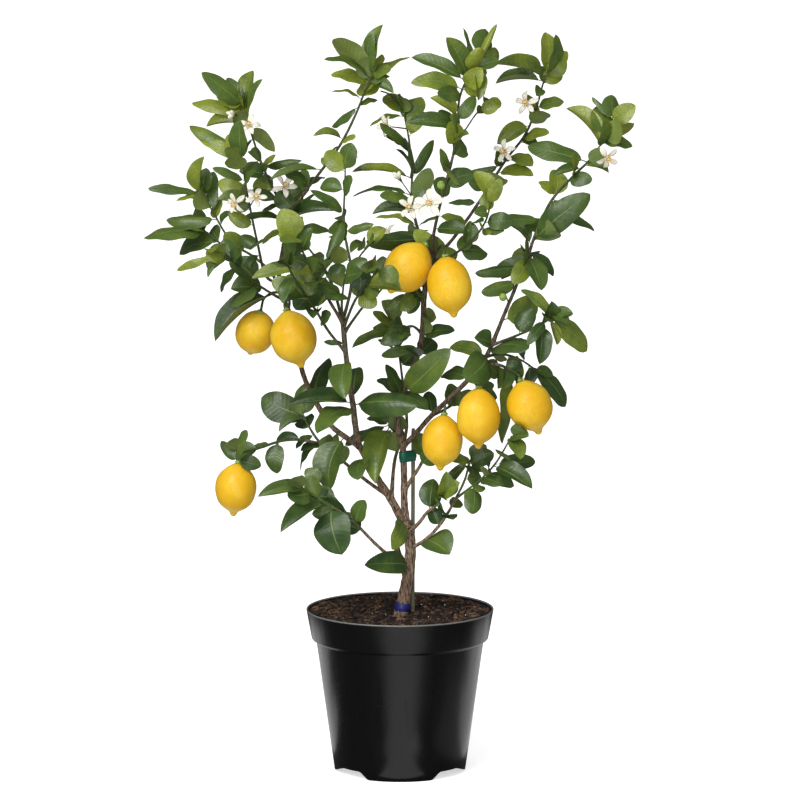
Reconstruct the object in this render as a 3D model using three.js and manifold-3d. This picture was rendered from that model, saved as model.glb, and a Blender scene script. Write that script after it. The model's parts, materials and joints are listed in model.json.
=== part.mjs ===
// A young lemon tree in a three-gallon nursery pot: millimetres, +Z up, front towards -Y,
// origin at the centre of the pot's flat underside.
import * as THREE from "three";
import { mergeVertices } from "three/addons/utils/BufferGeometryUtils.js";
import Module from "manifold-3d";

const wasm = await Module();
wasm.setup();

// ---- Driving dimensions ----
const GAP = 0.3;

const POT = {
  height: 235,
  rimRadius: 135,
  rimWall: 2.4,
  bandRadius: 127,
  bandBottom: 192,
  shoulderRadius: 120.5,
  baseRadius: 94.5,
  wall: 2.2,
  floorTop: 15,
  floorUnder: 12,
  hubRadius: 62,
  hubFlare: 6,
  hubDip: 3,
  lipWidth: 4,
  sides: 24,
  notchHeight: 11.6,
  // A notch across its direction: where it ends 1 mm below the ground and at its top.
  notchFoot: [-27, 60],
  notchTop: [-13, 21],
  notchReach: 33,
  notchOutset: 8,
  // The direction of each notch and the hand of its longer slope.
  notches: [[45, -1], [135, 1], [225, -1], [315, 1]],
};

const SOIL = { level: 226.5, edgeRise: 3, relief: 2.2, ringRadii: [90, 44], holeGap: 0.6 };
// Waves of the soil's relief across x and y, in radians a millimetre.
const LUMPS = { first: [0.09, 0.05], second: [-0.04, 0.07] };
const STAKE = { radius: 3, foot: [18, 22, 150], top: [19, 18, 494] };
const BAND = { bottom: 230, height: 14, thickness: 1.1, clearance: 0.5, boleShare: 0.12 };
const TAPE = { bottom: 447, height: 15, thickness: 1.1, clearance: 0.9, stemShare: 0.77 };

const LEAF = {
  thickness: 0.7,
  arch: 0.09,
  widthRatio: 0.52,
  droop: 0.22,
  stalkHalfWidth: 1,
  mediumLength: 60,
  largeLength: 88,
  probeFrom: 0.13,
  clearance: 0.5,
  attempts: 14,
  // How far a blade's upper face turns away from the trunk, to the front and up.
  faceOutward: 0.5,
  faceForward: 0.75,
  faceUp: 0.6,
  // Past this cosine between the blade and that direction, the face turns out and up instead.
  faceLimit: 0.93,
  handShift: 11,
  handRoll: 0.12,
};
// How leaves made by rule are spread: random parts of their place, turn, lean, length and roll.
const SPRAY = {
  placeDraw: 0.7,
  turnDraw: 0.8,
  turnPerTry: 0.9,
  leanAtFoot: 1.15,
  leanLoss: 0.6,
  leanDraw: 0.4,
  shortest: 0.78,
  lengthDraw: 0.44,
  rollDraw: 0.9,
};
const GOLDEN_ANGLE = 2.39996;

const COLOURS = {
  pot: [0x17181a, 0.35],
  soil: [0x3a2a1e, 0.95],
  bark: [0x6b5a48, 0.85],
  shoot: [0x4a6b2c, 0.55],
  lemon: [0xf2c12e, 0.45],
  petal: [0xf6f4ea, 0.6],
  stake: [0x7d7a6c, 0.7],
  tape: [0x0f7263, 0.5],
  band: [0x2a349a, 0.5],
};

// Woody stems and shoots: name, node, radius at the start and at the end, points up the middle,
// and for leaves made by rule their number, the share of the stem below them and their length.
// A stem whose node differs from the node it leaves begins on a short stub of that parent.
const STEMS = [
  { name: "bole", node: "trunk", radii: [9.2, 7.4], sides: 8,
    points: [[-5, 0, 192], [8, 0, 261], [13, 1, 290], [15, 3, 327], [9, 3, 362]] },
  { name: "knot", node: "trunk", radii: [5.6, 4.4], sides: 6,
    points: [[10, 1, 286], [0, 4, 306], [-6, 5, 328]] },
  { name: "mid_stem", node: "trunk", radii: [5.2, 4.5], sides: 6,
    points: [[9, 3, 356], [6, 3, 392], [6, 4, 421], [5, 5, 450], [4, 5, 475]] },
  { name: "left_stem", node: "trunk", radii: [6.2, 4.6], sides: 6,
    points: [[8, 0, 352], [-4, -1, 378], [-16, -3, 399], [-33, -4, 426], [-53, -5, 463], [-61, -7, 478]] },
  { name: "inner_left", node: "trunk", radii: [3, 1.8], sides: 5, leaves: [1, 0.45, 40],
    points: [[-12, -3, 394], [-10, 11, 428], [-7, 16, 451], [-1, 23, 476], [-16, 27, 497]] },
  { name: "inner_right", node: "trunk", radii: [2.8, 1.7], sides: 5, leaves: [1, 0.5, 38],
    points: [[6, 3, 404], [17, -5, 425], [27, -4, 440], [36, 8, 457], [40, 19, 479]] },
  { name: "low_right", node: "trunk", radii: [3, 1.7], sides: 5, leaves: [1, 0.4, 36],
    points: [[12, 1, 346], [26, -16, 361], [39, -30, 380], [54, -40, 394], [59, -46, 410]] },

  { name: "centre_limb", node: "limb_centre", radii: [4.5, 4], sides: 6, stub: 9, leaves: [1, 0.4, 42],
    points: [[4, 5, 474], [-3, 0, 500], [-2, 0, 525], [9, -1, 559], [20, -1, 588], [29, -3, 615],
      [33, -3, 648], [34, -4, 682], [37, -4, 704], [43, -5, 728], [47, -5, 746]] },
  { name: "centre_sprout", node: "limb_centre", radii: [2, 1.2], sides: 5, leaves: [1, 0.6, 34],
    points: [[34, -4, 676], [26, -16, 691], [13, -32, 695]] },
  { name: "centre_spur", node: "limb_centre", radii: [2, 1.2], sides: 5, leaves: [1, 0.5, 36],
    points: [[31, -3, 634], [17, -19, 647], [0, -35, 643]] },
  { name: "back_stem", node: "centre_back", radii: [2.6, 1.3], stub: 14, leaves: [3, 0.35, 42],
    points: [[4, 5, 472], [10, 22, 498], [6, 32, 540], [-1, 40, 598], [-7, 46, 639]] },

  { name: "left_limb", node: "limb_left", radii: [4.6, 3.7], sides: 6, stub: 3,
    points: [[-61, -7, 478], [-64, -20, 505], [-67, -34, 535], [-71, -47, 566], [-77, -58, 614],
      [-81, -68, 662]] },
  { name: "left_front", node: "limb_left", radii: [1.9, 1.1], sides: 5, leaves: [2, 0.4, 40],
    points: [[-81, -68, 658], [-82, -84, 688], [-80, -100, 709], [-77, -111, 732]] },
  { name: "left_mid", node: "limb_left", radii: [2.1, 1.2], sides: 5, leaves: [1, 0.35, 42],
    points: [[-78, -63, 644], [-54, -49, 676], [-37, -38, 689], [-19, -20, 709]] },
  { name: "left_low", node: "left_low", radii: [2.3, 1.2], stub: 14, leaves: [3, 0.3, 44],
    points: [[-77, -58, 614], [-102, -74, 648], [-119, -92, 679], [-146, -119, 724], [-157, -128, 746]] },
  { name: "left_fork", node: "left_fork", radii: [2.5, 1.2], stub: 13, leaves: [4, 0.3, 46],
    points: [[-81, -68, 658], [-102, -84, 695], [-124, -108, 738], [-136, -126, 765], [-146, -142, 786]] },
  { name: "left_inner", node: "left_inner", radii: [2.5, 1.2], stub: 16, leaves: [2, 0.3, 44],
    points: [[-80, -66, 652], [-91, -49, 694], [-105, -40, 728], [-125, -34, 754], [-143, -27, 777]] },
  { name: "left_tall", node: "left_tall", radii: [2.4, 1.1], stub: 13, leaves: [1, 0.3, 42],
    points: [[-81, -68, 660], [-70, -49, 702], [-70, -27, 735], [-77, -11, 769], [-80, 5, 803],
      [-79, 14, 834], [-78, 20, 865]] },
  { name: "left_tall_side", node: "left_tall", radii: [1.5, 1], leaves: [1, 0.6, 38],
    points: [[-70, -31, 727], [-54, -47, 754], [-37, -61, 773]] },
  { name: "left_forward", node: "left_forward", radii: [2.2, 1.2], stub: 14, leaves: [3, 0.3, 44],
    points: [[-80, -66, 650], [-64, -89, 691], [-49, -108, 714], [-31, -135, 742]] },

  { name: "back_limb", node: "limb_left_back", radii: [4, 3], sides: 6, stub: 14,
    points: [[-58, -7, 472], [-79, 11, 483], [-101, 27, 499], [-125, 51, 535], [-141, 68, 570],
      [-150, 78, 614], [-159, 81, 652], [-172, 81, 685], [-175, 81, 703], [-171, 77, 733],
      [-167, 74, 754]] },
  { name: "top_middle", node: "top_middle", radii: [2.7, 1.3], stub: 8, leaves: [2, 0.15, 47],
    points: [[-167, 73, 752], [-157, 62, 795], [-141, 61, 824], [-114, 57, 860], [-86, 54, 898],
      [-64, 53, 941], [-50, 50, 976], [-40, 49, 998]] },
  { name: "top_left", node: "top_left", radii: [2.5, 1.3], stub: 17, leaves: [2, 0.3, 46],
    points: [[-168, 76, 745], [-164, 92, 785], [-177, 94, 820], [-197, 97, 862], [-212, 103, 904],
      [-225, 108, 950]] },
  { name: "left_side_front", node: "left_side_front", radii: [2.2, 1.2], stub: 12, leaves: [3, 0.3, 46],
    points: [[-166, 81, 671], [-186, 65, 684], [-212, 27, 707], [-236, -4, 735], [-248, -20, 750]] },
  { name: "left_side_back", node: "left_side_back", radii: [2.4, 1.2], stub: 12, leaves: [1, 0.4, 48],
    points: [[-173, 81, 689], [-190, 99, 714], [-224, 119, 738], [-255, 132, 745], [-281, 142, 764]] },
  { name: "left_side_back_fork", node: "left_side_back", radii: [1.8, 1.1], leaves: [1, 0.4, 44],
    points: [[-231, 123, 739], [-252, 131, 761], [-268, 136, 788], [-286, 142, 818]] },
  { name: "left_side_tall", node: "left_side_tall", radii: [2.3, 1.1], stub: 12, leaves: [1, 0.3, 44],
    points: [[-174, 81, 696], [-193, 57, 710], [-203, 30, 756], [-214, 9, 815], [-220, 0, 852],
      [-224, -7, 885]] },

  { name: "centre_tall", node: "centre_tall", radii: [2.6, 1.2], stub: 13, leaves: [2, 0.3, 46],
    points: [[46, -5, 741], [47, -23, 773], [53, -36, 806], [64, -53, 852], [75, -54, 895],
      [81, -46, 937], [84, -36, 973], [96, -24, 1001], [117, -14, 1028]] },
  { name: "centre_tall_twig", node: "centre_tall", radii: [1.3, 0.8], leaves: [1, 0.6, 30],
    points: [[78, -51, 914], [91, -38, 927], [106, -27, 948], [122, -16, 965]] },
  { name: "centre_left", node: "centre_left", radii: [2.5, 1.2], stub: 12, leaves: [1, 0.25, 46],
    points: [[44, -5, 733], [34, 12, 762], [23, 28, 789], [17, 43, 822], [17, 57, 862], [13, 68, 904],
      [6, 74, 940]] },
  { name: "right_top", node: "right_top", radii: [2.7, 1.2], stub: 12, leaves: [3, 0.3, 46],
    points: [[46, -5, 743], [67, 15, 758], [91, 30, 787], [120, 47, 828], [151, 66, 875], [178, 76, 909],
      [194, 81, 944], [203, 81, 977], [209, 81, 997]] },
  { name: "right_front", node: "right_front", radii: [2, 1.1], stub: 13, leaves: [3, 0.3, 44],
    points: [[46, -5, 738], [72, -30, 748], [101, -54, 773], [120, -70, 801], [128, -81, 831]] },

  { name: "right_limb", node: "limb_right", radii: [3.8, 3], sides: 6, stub: 12,
    points: [[4, 4, 470], [20, -11, 488], [44, -20, 517], [71, -30, 545], [99, -36, 574], [121, -40, 604],
      [132, -40, 626]] },
  { name: "right_tall", node: "right_tall", radii: [2.9, 1.2], stub: 7, leaves: [3, 0.25, 46],
    points: [[132, -40, 626], [146, -38, 661], [163, -31, 701], [181, -20, 745], [195, -12, 784],
      [216, 0, 825], [245, 7, 857], [271, 14, 882], [290, 20, 909], [303, 27, 938]] },
  { name: "right_back", node: "right_back", radii: [2.2, 1.2], stub: 11, leaves: [2, 0.35, 42],
    points: [[44, -20, 517], [59, 8, 520], [83, 38, 529], [115, 61, 541]] },
  { name: "right_low_front", node: "right_low_front", radii: [2.1, 1.2], stub: 12, leaves: [1, 0.3, 42],
    points: [[130, -40, 622], [156, -61, 635], [184, -86, 650], [201, -101, 661], [214, -111, 671]] },
  { name: "right_fruit", node: "right_fruit", radii: [2.3, 1.7], stub: 12, leaves: [2, 0.3, 36],
    points: [[114, -39, 593], [136, -49, 596], [152, -61, 592]], fruit: "lemon_8" },
  { name: "right_low_back", node: "right_low_back", radii: [2.1, 1.2], stub: 12, leaves: [2, 0.3, 44],
    points: [[122, -40, 606], [147, -18, 606], [172, 0, 596], [196, 14, 578]] },

  { name: "base_right", node: "base_right", radii: [2.8, 1.4], stub: 15, leaves: [2, 0.35, 38],
    points: [[15, 1, 322], [36, -19, 338], [54, -30, 358], [69, -35, 381], [82, -34, 405], [93, -24, 427],
      [100, -11, 452]] },
  { name: "base_right_fork", node: "base_right", radii: [1.8, 1.2], leaves: [2, 0.3, 38],
    points: [[78, -34, 399], [96, -46, 415], [116, -58, 433], [137, -70, 459], [158, -84, 498]] },
  { name: "base_left", node: "base_left", radii: [3, 1.5], stub: 16, leaves: [2, 0.5, 42],
    points: [[12, -1, 290], [-14, -22, 314], [-36, -30, 335], [-71, -51, 374], [-105, -74, 400],
      [-135, -88, 423]] },
  { name: "base_left_fork", node: "base_left", radii: [1.7, 1.1], leaves: [2, 0.4, 36],
    points: [[-71, -51, 374], [-92, -38, 401], [-117, -20, 420]] },
  { name: "base_back", node: "base_back", radii: [2.9, 1.5], stub: 13, leaves: [2, 0.3, 44],
    points: [[-16, -3, 399], [-46, 19, 416], [-82, 43, 442], [-114, 61, 465], [-131, 68, 488],
      [-139, 70, 504]] },
  { name: "base_back_fork", node: "base_back", radii: [2, 1.7], leaves: [1, 0.3, 42],
    points: [[-114, 61, 465], [-144, 40, 474], [-172, 20, 475], [-205, -7, 468], [-226, -20, 464]],
    fruit: "lemon_5" },

  { name: "stalk_1", node: "limb_centre", radii: [1.9, 1.7],
    points: [[44, -5, 733], [43, -24, 751], [40, -46, 768]], fruit: "lemon_1" },
  { name: "stalk_2", node: "limb_centre", radii: [1.9, 1.7],
    points: [[46, -5, 741], [54, -27, 758], [60, -54, 766]], fruit: "lemon_2" },
  { name: "stalk_3", node: "limb_left_back", radii: [1.9, 1.7],
    points: [[-171, 81, 683], [-184, 77, 683], [-196, 73, 675]], fruit: "lemon_3" },
  { name: "stalk_4", node: "limb_left_back", radii: [1.9, 1.7],
    points: [[-161, 81, 658], [-159, 61, 672], [-162, 32, 677]], fruit: "lemon_4" },
  { name: "stalk_6", node: "limb_right", radii: [1.9, 1.7],
    points: [[58, -24, 532], [63, -40, 538]], fruit: "lemon_6" },
  { name: "stalk_7", node: "limb_right", radii: [1.9, 1.7],
    points: [[101, -38, 576], [106, -61, 585], [110, -78, 582]], fruit: "lemon_7" },
];

// The node that each separate node's first stem leaves.
const PARENTS = {
  limb_centre: "trunk", centre_back: "trunk", limb_left: "trunk", limb_left_back: "trunk",
  limb_right: "trunk", base_right: "trunk", base_left: "trunk", base_back: "trunk",
  left_low: "limb_left", left_fork: "limb_left", left_inner: "limb_left", left_tall: "limb_left",
  left_forward: "limb_left", top_middle: "limb_left_back", top_left: "limb_left_back",
  left_side_front: "limb_left_back", left_side_back: "limb_left_back",
  left_side_tall: "limb_left_back", centre_tall: "limb_centre", centre_left: "limb_centre",
  right_top: "limb_centre", right_front: "limb_centre", right_tall: "limb_right",
  right_back: "limb_right", right_low_front: "limb_right", right_fruit: "limb_right",
  right_low_back: "limb_right",
};

// Lemons: centre, direction of the nipple, length with the nipple and greatest width.
const LEMONS = [
  { name: "lemon_1", centre: [10, -54, 733], nipple: [-0.6, 0, -0.8], length: 86, width: 65 },
  { name: "lemon_2", centre: [70, -84, 711], nipple: [0.15, 0, -1], length: 89, width: 63 },
  { name: "lemon_3", centre: [-209, 70, 625], nipple: [-0.25, 0.5, -1], length: 76, width: 57 },
  { name: "lemon_4", centre: [-152, 14, 624], nipple: [0.28, -0.1, -1], length: 86, width: 66 },
  { name: "lemon_5", centre: [-235, -23, 412], nipple: [-0.1, 0.1, -1], length: 80, width: 59 },
  { name: "lemon_6", centre: [60, -57, 485], nipple: [-0.08, 0, -1], length: 82, width: 58 },
  { name: "lemon_7", centre: [111, -86, 524], nipple: [0, 0.05, -1], length: 89, width: 62 },
  { name: "lemon_8", centre: [184, -82, 539], nipple: [0.35, 0, -1], length: 82, width: 64 },
];
// Share of the length above the nipple's tip, and share of the half width there.
const LEMON_PROFILE = [
  [0, 0], [0.02, 0.13], [0.08, 0.22], [0.22, 0.74], [0.42, 1], [0.62, 1], [0.8, 0.75], [0.94, 0.3],
  [0.985, 0.1], [0.985, 0],
];
const LEMON_SIDES = 10;
const CALYX_RADIUS = 3.4;
const CALYX_HEIGHT = 4;
const STALK_RISE = 9;
const STUB_SWELL = 0.5;

// Leaves that stand out: stem, share of the stem below the leaf, tip and width.
const LEAVES = {
  bole: [[0.55, [-51, -35, 308], 26]],
  left_stem: [[0.1, [-12, -27, 331], 22], [0.75, [-60, -40, 428], 26]],
  inner_left: [[1, [-79, 3, 470], 20], [0.97, [-35, -19, 421], 32]],
  low_right: [[0.55, [48, -7, 425], 26], [0.85, [66, -65, 445], 22]],
  centre_limb: [[0.24, [-21, -27, 595], 23], [0.27, [72, -43, 618], 35], [0.26, [40, -35, 528], 23],
    [0.55, [78, -30, 641], 23], [0.5, [-27, 11, 600], 14], [0.42, [6, -17, 619], 14]],
  centre_sprout: [[1, [-20, -38, 672], 17], [0.5, [11, -24, 665], 13]],
  centre_spur: [[0.45, [-28, -27, 622], 19]],
  back_stem: [[0.9, [-69, 36, 608], 19]],
  left_limb: [[0.42, [-158, -61, 540], 20], [0.36, [-117, -100, 504], 32], [0.4, [25, -78, 541], 32],
    [0.45, [-62, 3, 584], 29], [0.75, [-78, -105, 554], 29]],
  left_low: [[0.8, [-164, -151, 696], 17]],
  left_inner: [[0.45, [-147, -78, 677], 43], [0.55, [-210, -61, 720], 19]],
  left_tall: [[1, [-77, 26, 891], 14], [0.85, [-114, 29, 841], 20], [0.67, [-128, -19, 841], 13],
    [0.55, [-37, -22, 793], 13], [0.64, [-104, -28, 745], 17], [0.4, [-53, -9, 764], 12],
    [0.33, [-31, -47, 727], 13], [0.2, [-31, -73, 696], 22]],
  left_forward: [[1, [-3, -147, 725], 23]],
  back_limb: [[0.3, [-103, 84, 583], 20], [0.1, [-102, -11, 408], 37]],
  top_middle: [[1, [-24, 61, 1071], 26], [1, [-41, 57, 1059], 22], [0.98, [-95, 35, 1053], 27],
    [0.95, [-108, 23, 1024], 20], [0.9, [-99, 56, 999], 20], [0.97, [16, 67, 1024], 19],
    [0.93, [-9, 31, 975], 16], [0.8, [-98, 31, 976], 12], [0.76, [-32, 66, 962], 13],
    [0.76, [-98, 72, 923], 14], [0.6, [-124, 40, 913], 13], [0.56, [-103, 72, 877], 14],
    [0.58, [-63, 34, 913], 13], [0.44, [-186, 33, 850], 13], [0.34, [-165, 47, 857], 19],
    [0.15, [-115, 80, 828], 13], [0.1, [-142, 43, 825], 19], [0.13, [-92, 33, 806], 19],
    [0.06, [-101, 78, 772], 13]],
  top_left: [[0.95, [-213, 128, 999], 23], [1, [-285, 89, 1000], 23], [0.94, [-301, 128, 953], 20],
    [0.9, [-197, 81, 991], 20], [0.97, [-250, 121, 989], 16], [0.95, [-230, 93, 992], 12],
    [0.92, [-277, 86, 942], 13], [0.88, [-280, 121, 919], 17], [0.86, [-181, 126, 882], 17],
    [0.6, [-141, 83, 874], 13], [0.62, [-179, 74, 881], 14], [0.62, [-217, 112, 883], 13],
    [0.35, [-200, 76, 798], 13], [0.2, [-230, 66, 788], 14], [0.14, [-199, 99, 750], 12],
    [0.1, [-147, 62, 757], 19]],
  left_side_front: [[0.22, [-266, 54, 615], 23], [0.68, [-256, 15, 690], 14]],
  left_side_back: [[1, [-371, 111, 758], 29], [0.82, [-322, 170, 730], 29], [0.52, [-277, 89, 729], 29]],
  left_side_back_fork: [[1, [-365, 124, 829], 13], [0.97, [-283, 125, 876], 27],
    [0.7, [-272, 155, 849], 16], [0.88, [-324, 120, 811], 14], [0.6, [-340, 149, 781], 22],
    [0.5, [-243, 120, 795], 17]],
  left_side_tall: [[1, [-300, 24, 929], 20], [1, [-226, -21, 941], 30], [0.95, [-284, 9, 910], 17],
    [0.8, [-266, -20, 873], 12], [0.7, [-259, 16, 850], 20], [0.62, [-260, -6, 826], 17],
    [0.65, [-203, -19, 872], 16], [0.5, [-245, 10, 805], 17], [0.4, [-229, 44, 769], 16],
    [0.35, [-214, 19, 724], 13]],
  centre_tall: [[0.86, [65, -37, 1059], 27], [0.85, [16, -12, 1029], 20], [0.8, [15, -53, 996], 24],
    [0.78, [52, -67, 984], 20], [0.66, [42, -53, 975], 17], [0.93, [110, -44, 970], 16],
    [0.64, [106, -29, 977], 17], [0.9, [114, -40, 1045], 22], [0.56, [97, -36, 925], 17],
    [0.6, [10, -66, 942], 20], [0.42, [56, -69, 906], 14], [0.18, [99, -55, 785], 22],
    [0.25, [94, -18, 794], 13]],
  centre_left: [[1, [1, 80, 965], 20], [0.98, [-44, 57, 924], 12], [0.8, [-29, 40, 933], 20],
    [0.85, [34, 87, 943], 17], [0.6, [6, 17, 913], 30], [0.62, [49, 65, 902], 13],
    [0.62, [-69, 43, 861], 17], [0.52, [-69, 61, 823], 13], [0.5, [44, 25, 868], 22],
    [0.5, [-29, 17, 829], 22], [0.4, [-40, 26, 802], 17], [0.3, [-36, -7, 800], 13],
    [0.25, [-21, 30, 772], 17], [0.2, [-48, -7, 770], 22], [0.25, [14, -40, 748], 23],
    [0.3, [54, 3, 800], 13]],
  right_top: [[1, [209, 103, 1057], 29], [0.98, [222, 57, 1057], 20], [0.95, [241, 100, 1028], 17],
    [0.97, [135, 59, 1015], 20], [0.93, [137, 97, 983], 12], [0.52, [190, 46, 869], 26],
    [0.48, [78, 78, 848], 13], [0.88, [195, 65, 968], 14], [0.68, [139, 64, 899], 20],
    [0.34, [69, 58, 815], 13]],
  right_front: [[0.95, [141, -97, 865], 17], [0.85, [104, -86, 815], 16], [0.75, [102, -58, 795], 13]],
  right_limb: [[0.86, [92, -84, 581], 40], [0.9, [182, -68, 624], 37], [0.84, [71, -14, 616], 23],
    [0.66, [59, -7, 573], 22], [0.35, [41, -7, 550], 17], [0.8, [140, -59, 573], 20],
    [0.97, [105, -58, 635], 23]],
  right_tall: [[0.1, [196, -14, 680], 32], [0.3, [106, -49, 726], 14], [0.25, [115, -57, 699], 17],
    [0.38, [149, 14, 792], 19], [0.4, [269, -40, 838], 32], [0.56, [241, -46, 798], 26],
    [0.5, [278, 19, 778], 14], [0.57, [199, 19, 850], 23], [0.48, [136, -34, 800], 14],
    [0.76, [182, 40, 898], 29], [0.86, [237, 46, 952], 26], [0.85, [291, 0, 938], 26],
    [1, [302, 40, 972], 26], [0.9, [335, 40, 930], 17], [0.72, [217, -2, 861], 12],
    [0.33, [160, -42, 710], 24], [0.34, [200, -54, 702], 26], [0.35, [219, -5, 717], 17],
    [0.36, [160, 2, 736], 20], [0.34, [137, -10, 729], 12]],
  right_low_front: [[0.74, [196, -116, 605], 22], [0.92, [264, -89, 620], 28], [1, [241, -130, 682], 13],
    [0.82, [178, -127, 634], 14], [0.97, [170, -94, 708], 16], [0.3, [177, -50, 593], 17],
    [0.9, [221, -117, 631], 12]],
  right_fruit: [[0.62, [160, -24, 554], 24], [0.55, [146, -14, 476], 17]],
  right_low_back: [[0.93, [237, 5, 527], 29]],
  base_right: [[1, [57, -32, 401], 12], [0.97, [120, 3, 437], 20], [0.95, [104, -43, 433], 17],
    [0.17, [71, -51, 322], 40]],
  base_right_fork: [[0.35, [101, -81, 386], 23], [0.7, [187, -100, 425], 26], [0.55, [163, -35, 419], 17],
    [0.72, [193, -51, 455], 20], [1, [170, -116, 470], 23]],
  base_left: [[0.98, [-201, -108, 415], 19], [0.8, [-169, -116, 365], 24], [0.75, [-82, -97, 330], 49]],
  base_left_fork: [[0.95, [-138, -5, 421], 17], [0.93, [-93, -35, 401], 10]],
  base_back: [[0.62, [-144, 84, 422], 13], [1, [-201, 94, 528], 37], [0.95, [-175, 56, 483], 13],
    [0.7, [-150, 52, 459], 14]],
  base_back_fork: [[0.15, [-179, 60, 469], 13], [1, [-286, -12, 477], 16], [0.98, [-217, -31, 502], 20],
    [0.95, [-256, -3, 479], 13], [0.93, [-198, -30, 447], 20]],
};

// Flowers: stem, share of the stem below the stalk, centre of the flower and span; span 0 is buds.
const FLOWERS = [
  { name: "flower_1", stem: "top_left", at: 0.8, base: [-216, 73, 923], span: 36 },
  { name: "flower_2", stem: "left_side_tall", at: 0.68, base: [-232, -19, 824], span: 32 },
  { name: "flower_3", stem: "left_side_tall", at: 0.6, base: [-206, -19, 829], span: 34 },
  { name: "flower_4", stem: "top_left", at: 0.38, base: [-167, 65, 836], span: 38 },
  { name: "flower_5", stem: "centre_left", at: 0.9, base: [-16, 51, 926], span: 34 },
  { name: "flower_6", stem: "centre_left", at: 0.42, base: [15, 14, 812], span: 36 },
  { name: "flower_7", stem: "centre_tall", at: 0.28, base: [44, -65, 826], span: 46 },
  { name: "flower_8", stem: "centre_left", at: 0.2, base: [-10, 5, 772], span: 38 },
  { name: "flower_9", stem: "right_top", at: 0.76, base: [182, 51, 958], span: 36 },
  { name: "flower_10", stem: "right_top", at: 0.56, base: [150, 35, 892], span: 34 },
  { name: "flower_11", stem: "right_tall", at: 0.84, base: [292, -11, 888], span: 36 },
  { name: "buds_1", stem: "top_left", at: 0.93, base: [-238, 89, 939], span: 0 },
  { name: "buds_2", stem: "right_top", at: 0.97, base: [178, 76, 1009], span: 0 },
  { name: "buds_3", stem: "centre_left", at: 0.52, base: [0, 35, 851], span: 0 },
];
const FLOWER = {
  stalkRadius: 1,
  calyxRadius: 2.4,
  coreRadius: 2.3,
  coreHeight: 8,
  petals: 5,
  petalThickness: 0.9,
  petalFoot: 2,
  cup: 0.3,
  // Points of one petal: share of the reach, and angle aside in radians.
  petalOutline: [[0.24, -0.6283], [0.6, -0.36], [1, 0], [0.6, 0.36]],
};
const BUD = { length: 13, width: 7, spread: 0.6, count: 3, foot: 2, endShare: 0.4 };

// ---- Solids ----
const vector = (p) => new THREE.Vector3(...p);

function solid(geometry) {
  const bare = geometry.index ? geometry.toNonIndexed() : geometry.clone();
  bare.deleteAttribute("normal");
  bare.deleteAttribute("uv");
  const merged = mergeVertices(bare, 1e-3);
  const faces = [];
  for (let i = 0; i < merged.index.count; i += 3) {
    const [a, b, c] = [0, 1, 2].map((k) => merged.index.getX(i + k));
    if (a !== b && b !== c && c !== a) faces.push([a, b, c]);
  }
  const make = (list) => new wasm.Manifold(new wasm.Mesh({
    numProp: 3,
    vertProperties: merged.attributes.position.array,
    triVerts: new Uint32Array(list.flat()),
  }));
  const made = make(faces);
  return made.volume() < 0 ? make(faces.map(([a, b, c]) => [a, c, b])) : made;
}

function geometryOf(manifold) {
  const mesh = manifold.getMesh();
  const geometry = new THREE.BufferGeometry();
  geometry.setAttribute("position", new THREE.BufferAttribute(mesh.vertProperties, 3));
  geometry.setIndex(new THREE.BufferAttribute(mesh.triVerts, 1));
  return geometry;
}

// Repeatable draws between 0 and 1.
function draws(seed) {
  let state = Math.imul(seed, 2654435761) >>> 0;
  return () => {
    state = (Math.imul(state, 1664525) + 1013904223) >>> 0;
    return state / 4294967296;
  };
}

// ---- Stems ----
// A route of straight stretches; its shares count waypoints, so 0.5 of 5 waypoints is the third.
class Route extends THREE.Curve {
  constructor(points) {
    super();
    this.points = points.map((p) => (p.isVector3 ? p : vector(p)));
  }
  get stretches() {
    return this.points.length - 1;
  }
  getPoint(share) {
    const place = Math.min(Math.max(share, 0), 1) * this.stretches;
    const index = Math.min(Math.floor(place), this.stretches - 1);
    return this.points[index].clone().lerp(this.points[index + 1], place - index);
  }
  getUtoTmapping(share) {
    return share;
  }
  direction(share) {
    const index = Math.min(Math.floor(share * this.stretches), this.stretches - 1);
    return this.points[index + 1].clone().sub(this.points[index]).normalize();
  }
}

// A tube of a regular polygon along a route, its radius given at each waypoint's share.
function tube(points, sides, radiusAt) {
  const route = new Route(points);
  const steps = route.stretches;
  const outline = Array.from({ length: sides }, (_, i) => {
    const angle = (2 * Math.PI * i) / sides;
    return new THREE.Vector2(Math.cos(angle), Math.sin(angle));
  });
  const geometry = new THREE.ExtrudeGeometry(new THREE.Shape(outline), {
    steps,
    bevelEnabled: false,
    extrudePath: route,
  });
  const position = geometry.attributes.position;
  for (let i = 0; i < position.count; i++) {
    const point = new THREE.Vector3().fromBufferAttribute(position, i);
    const gaps = route.points.map((centre) => centre.distanceTo(point));
    const nearest = gaps.indexOf(Math.min(...gaps));
    const centre = route.points[nearest];
    point.sub(centre).multiplyScalar(radiusAt(nearest / steps)).add(centre);
    position.setXYZ(i, point.x, point.y, point.z);
  }
  return solid(geometry);
}

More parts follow.
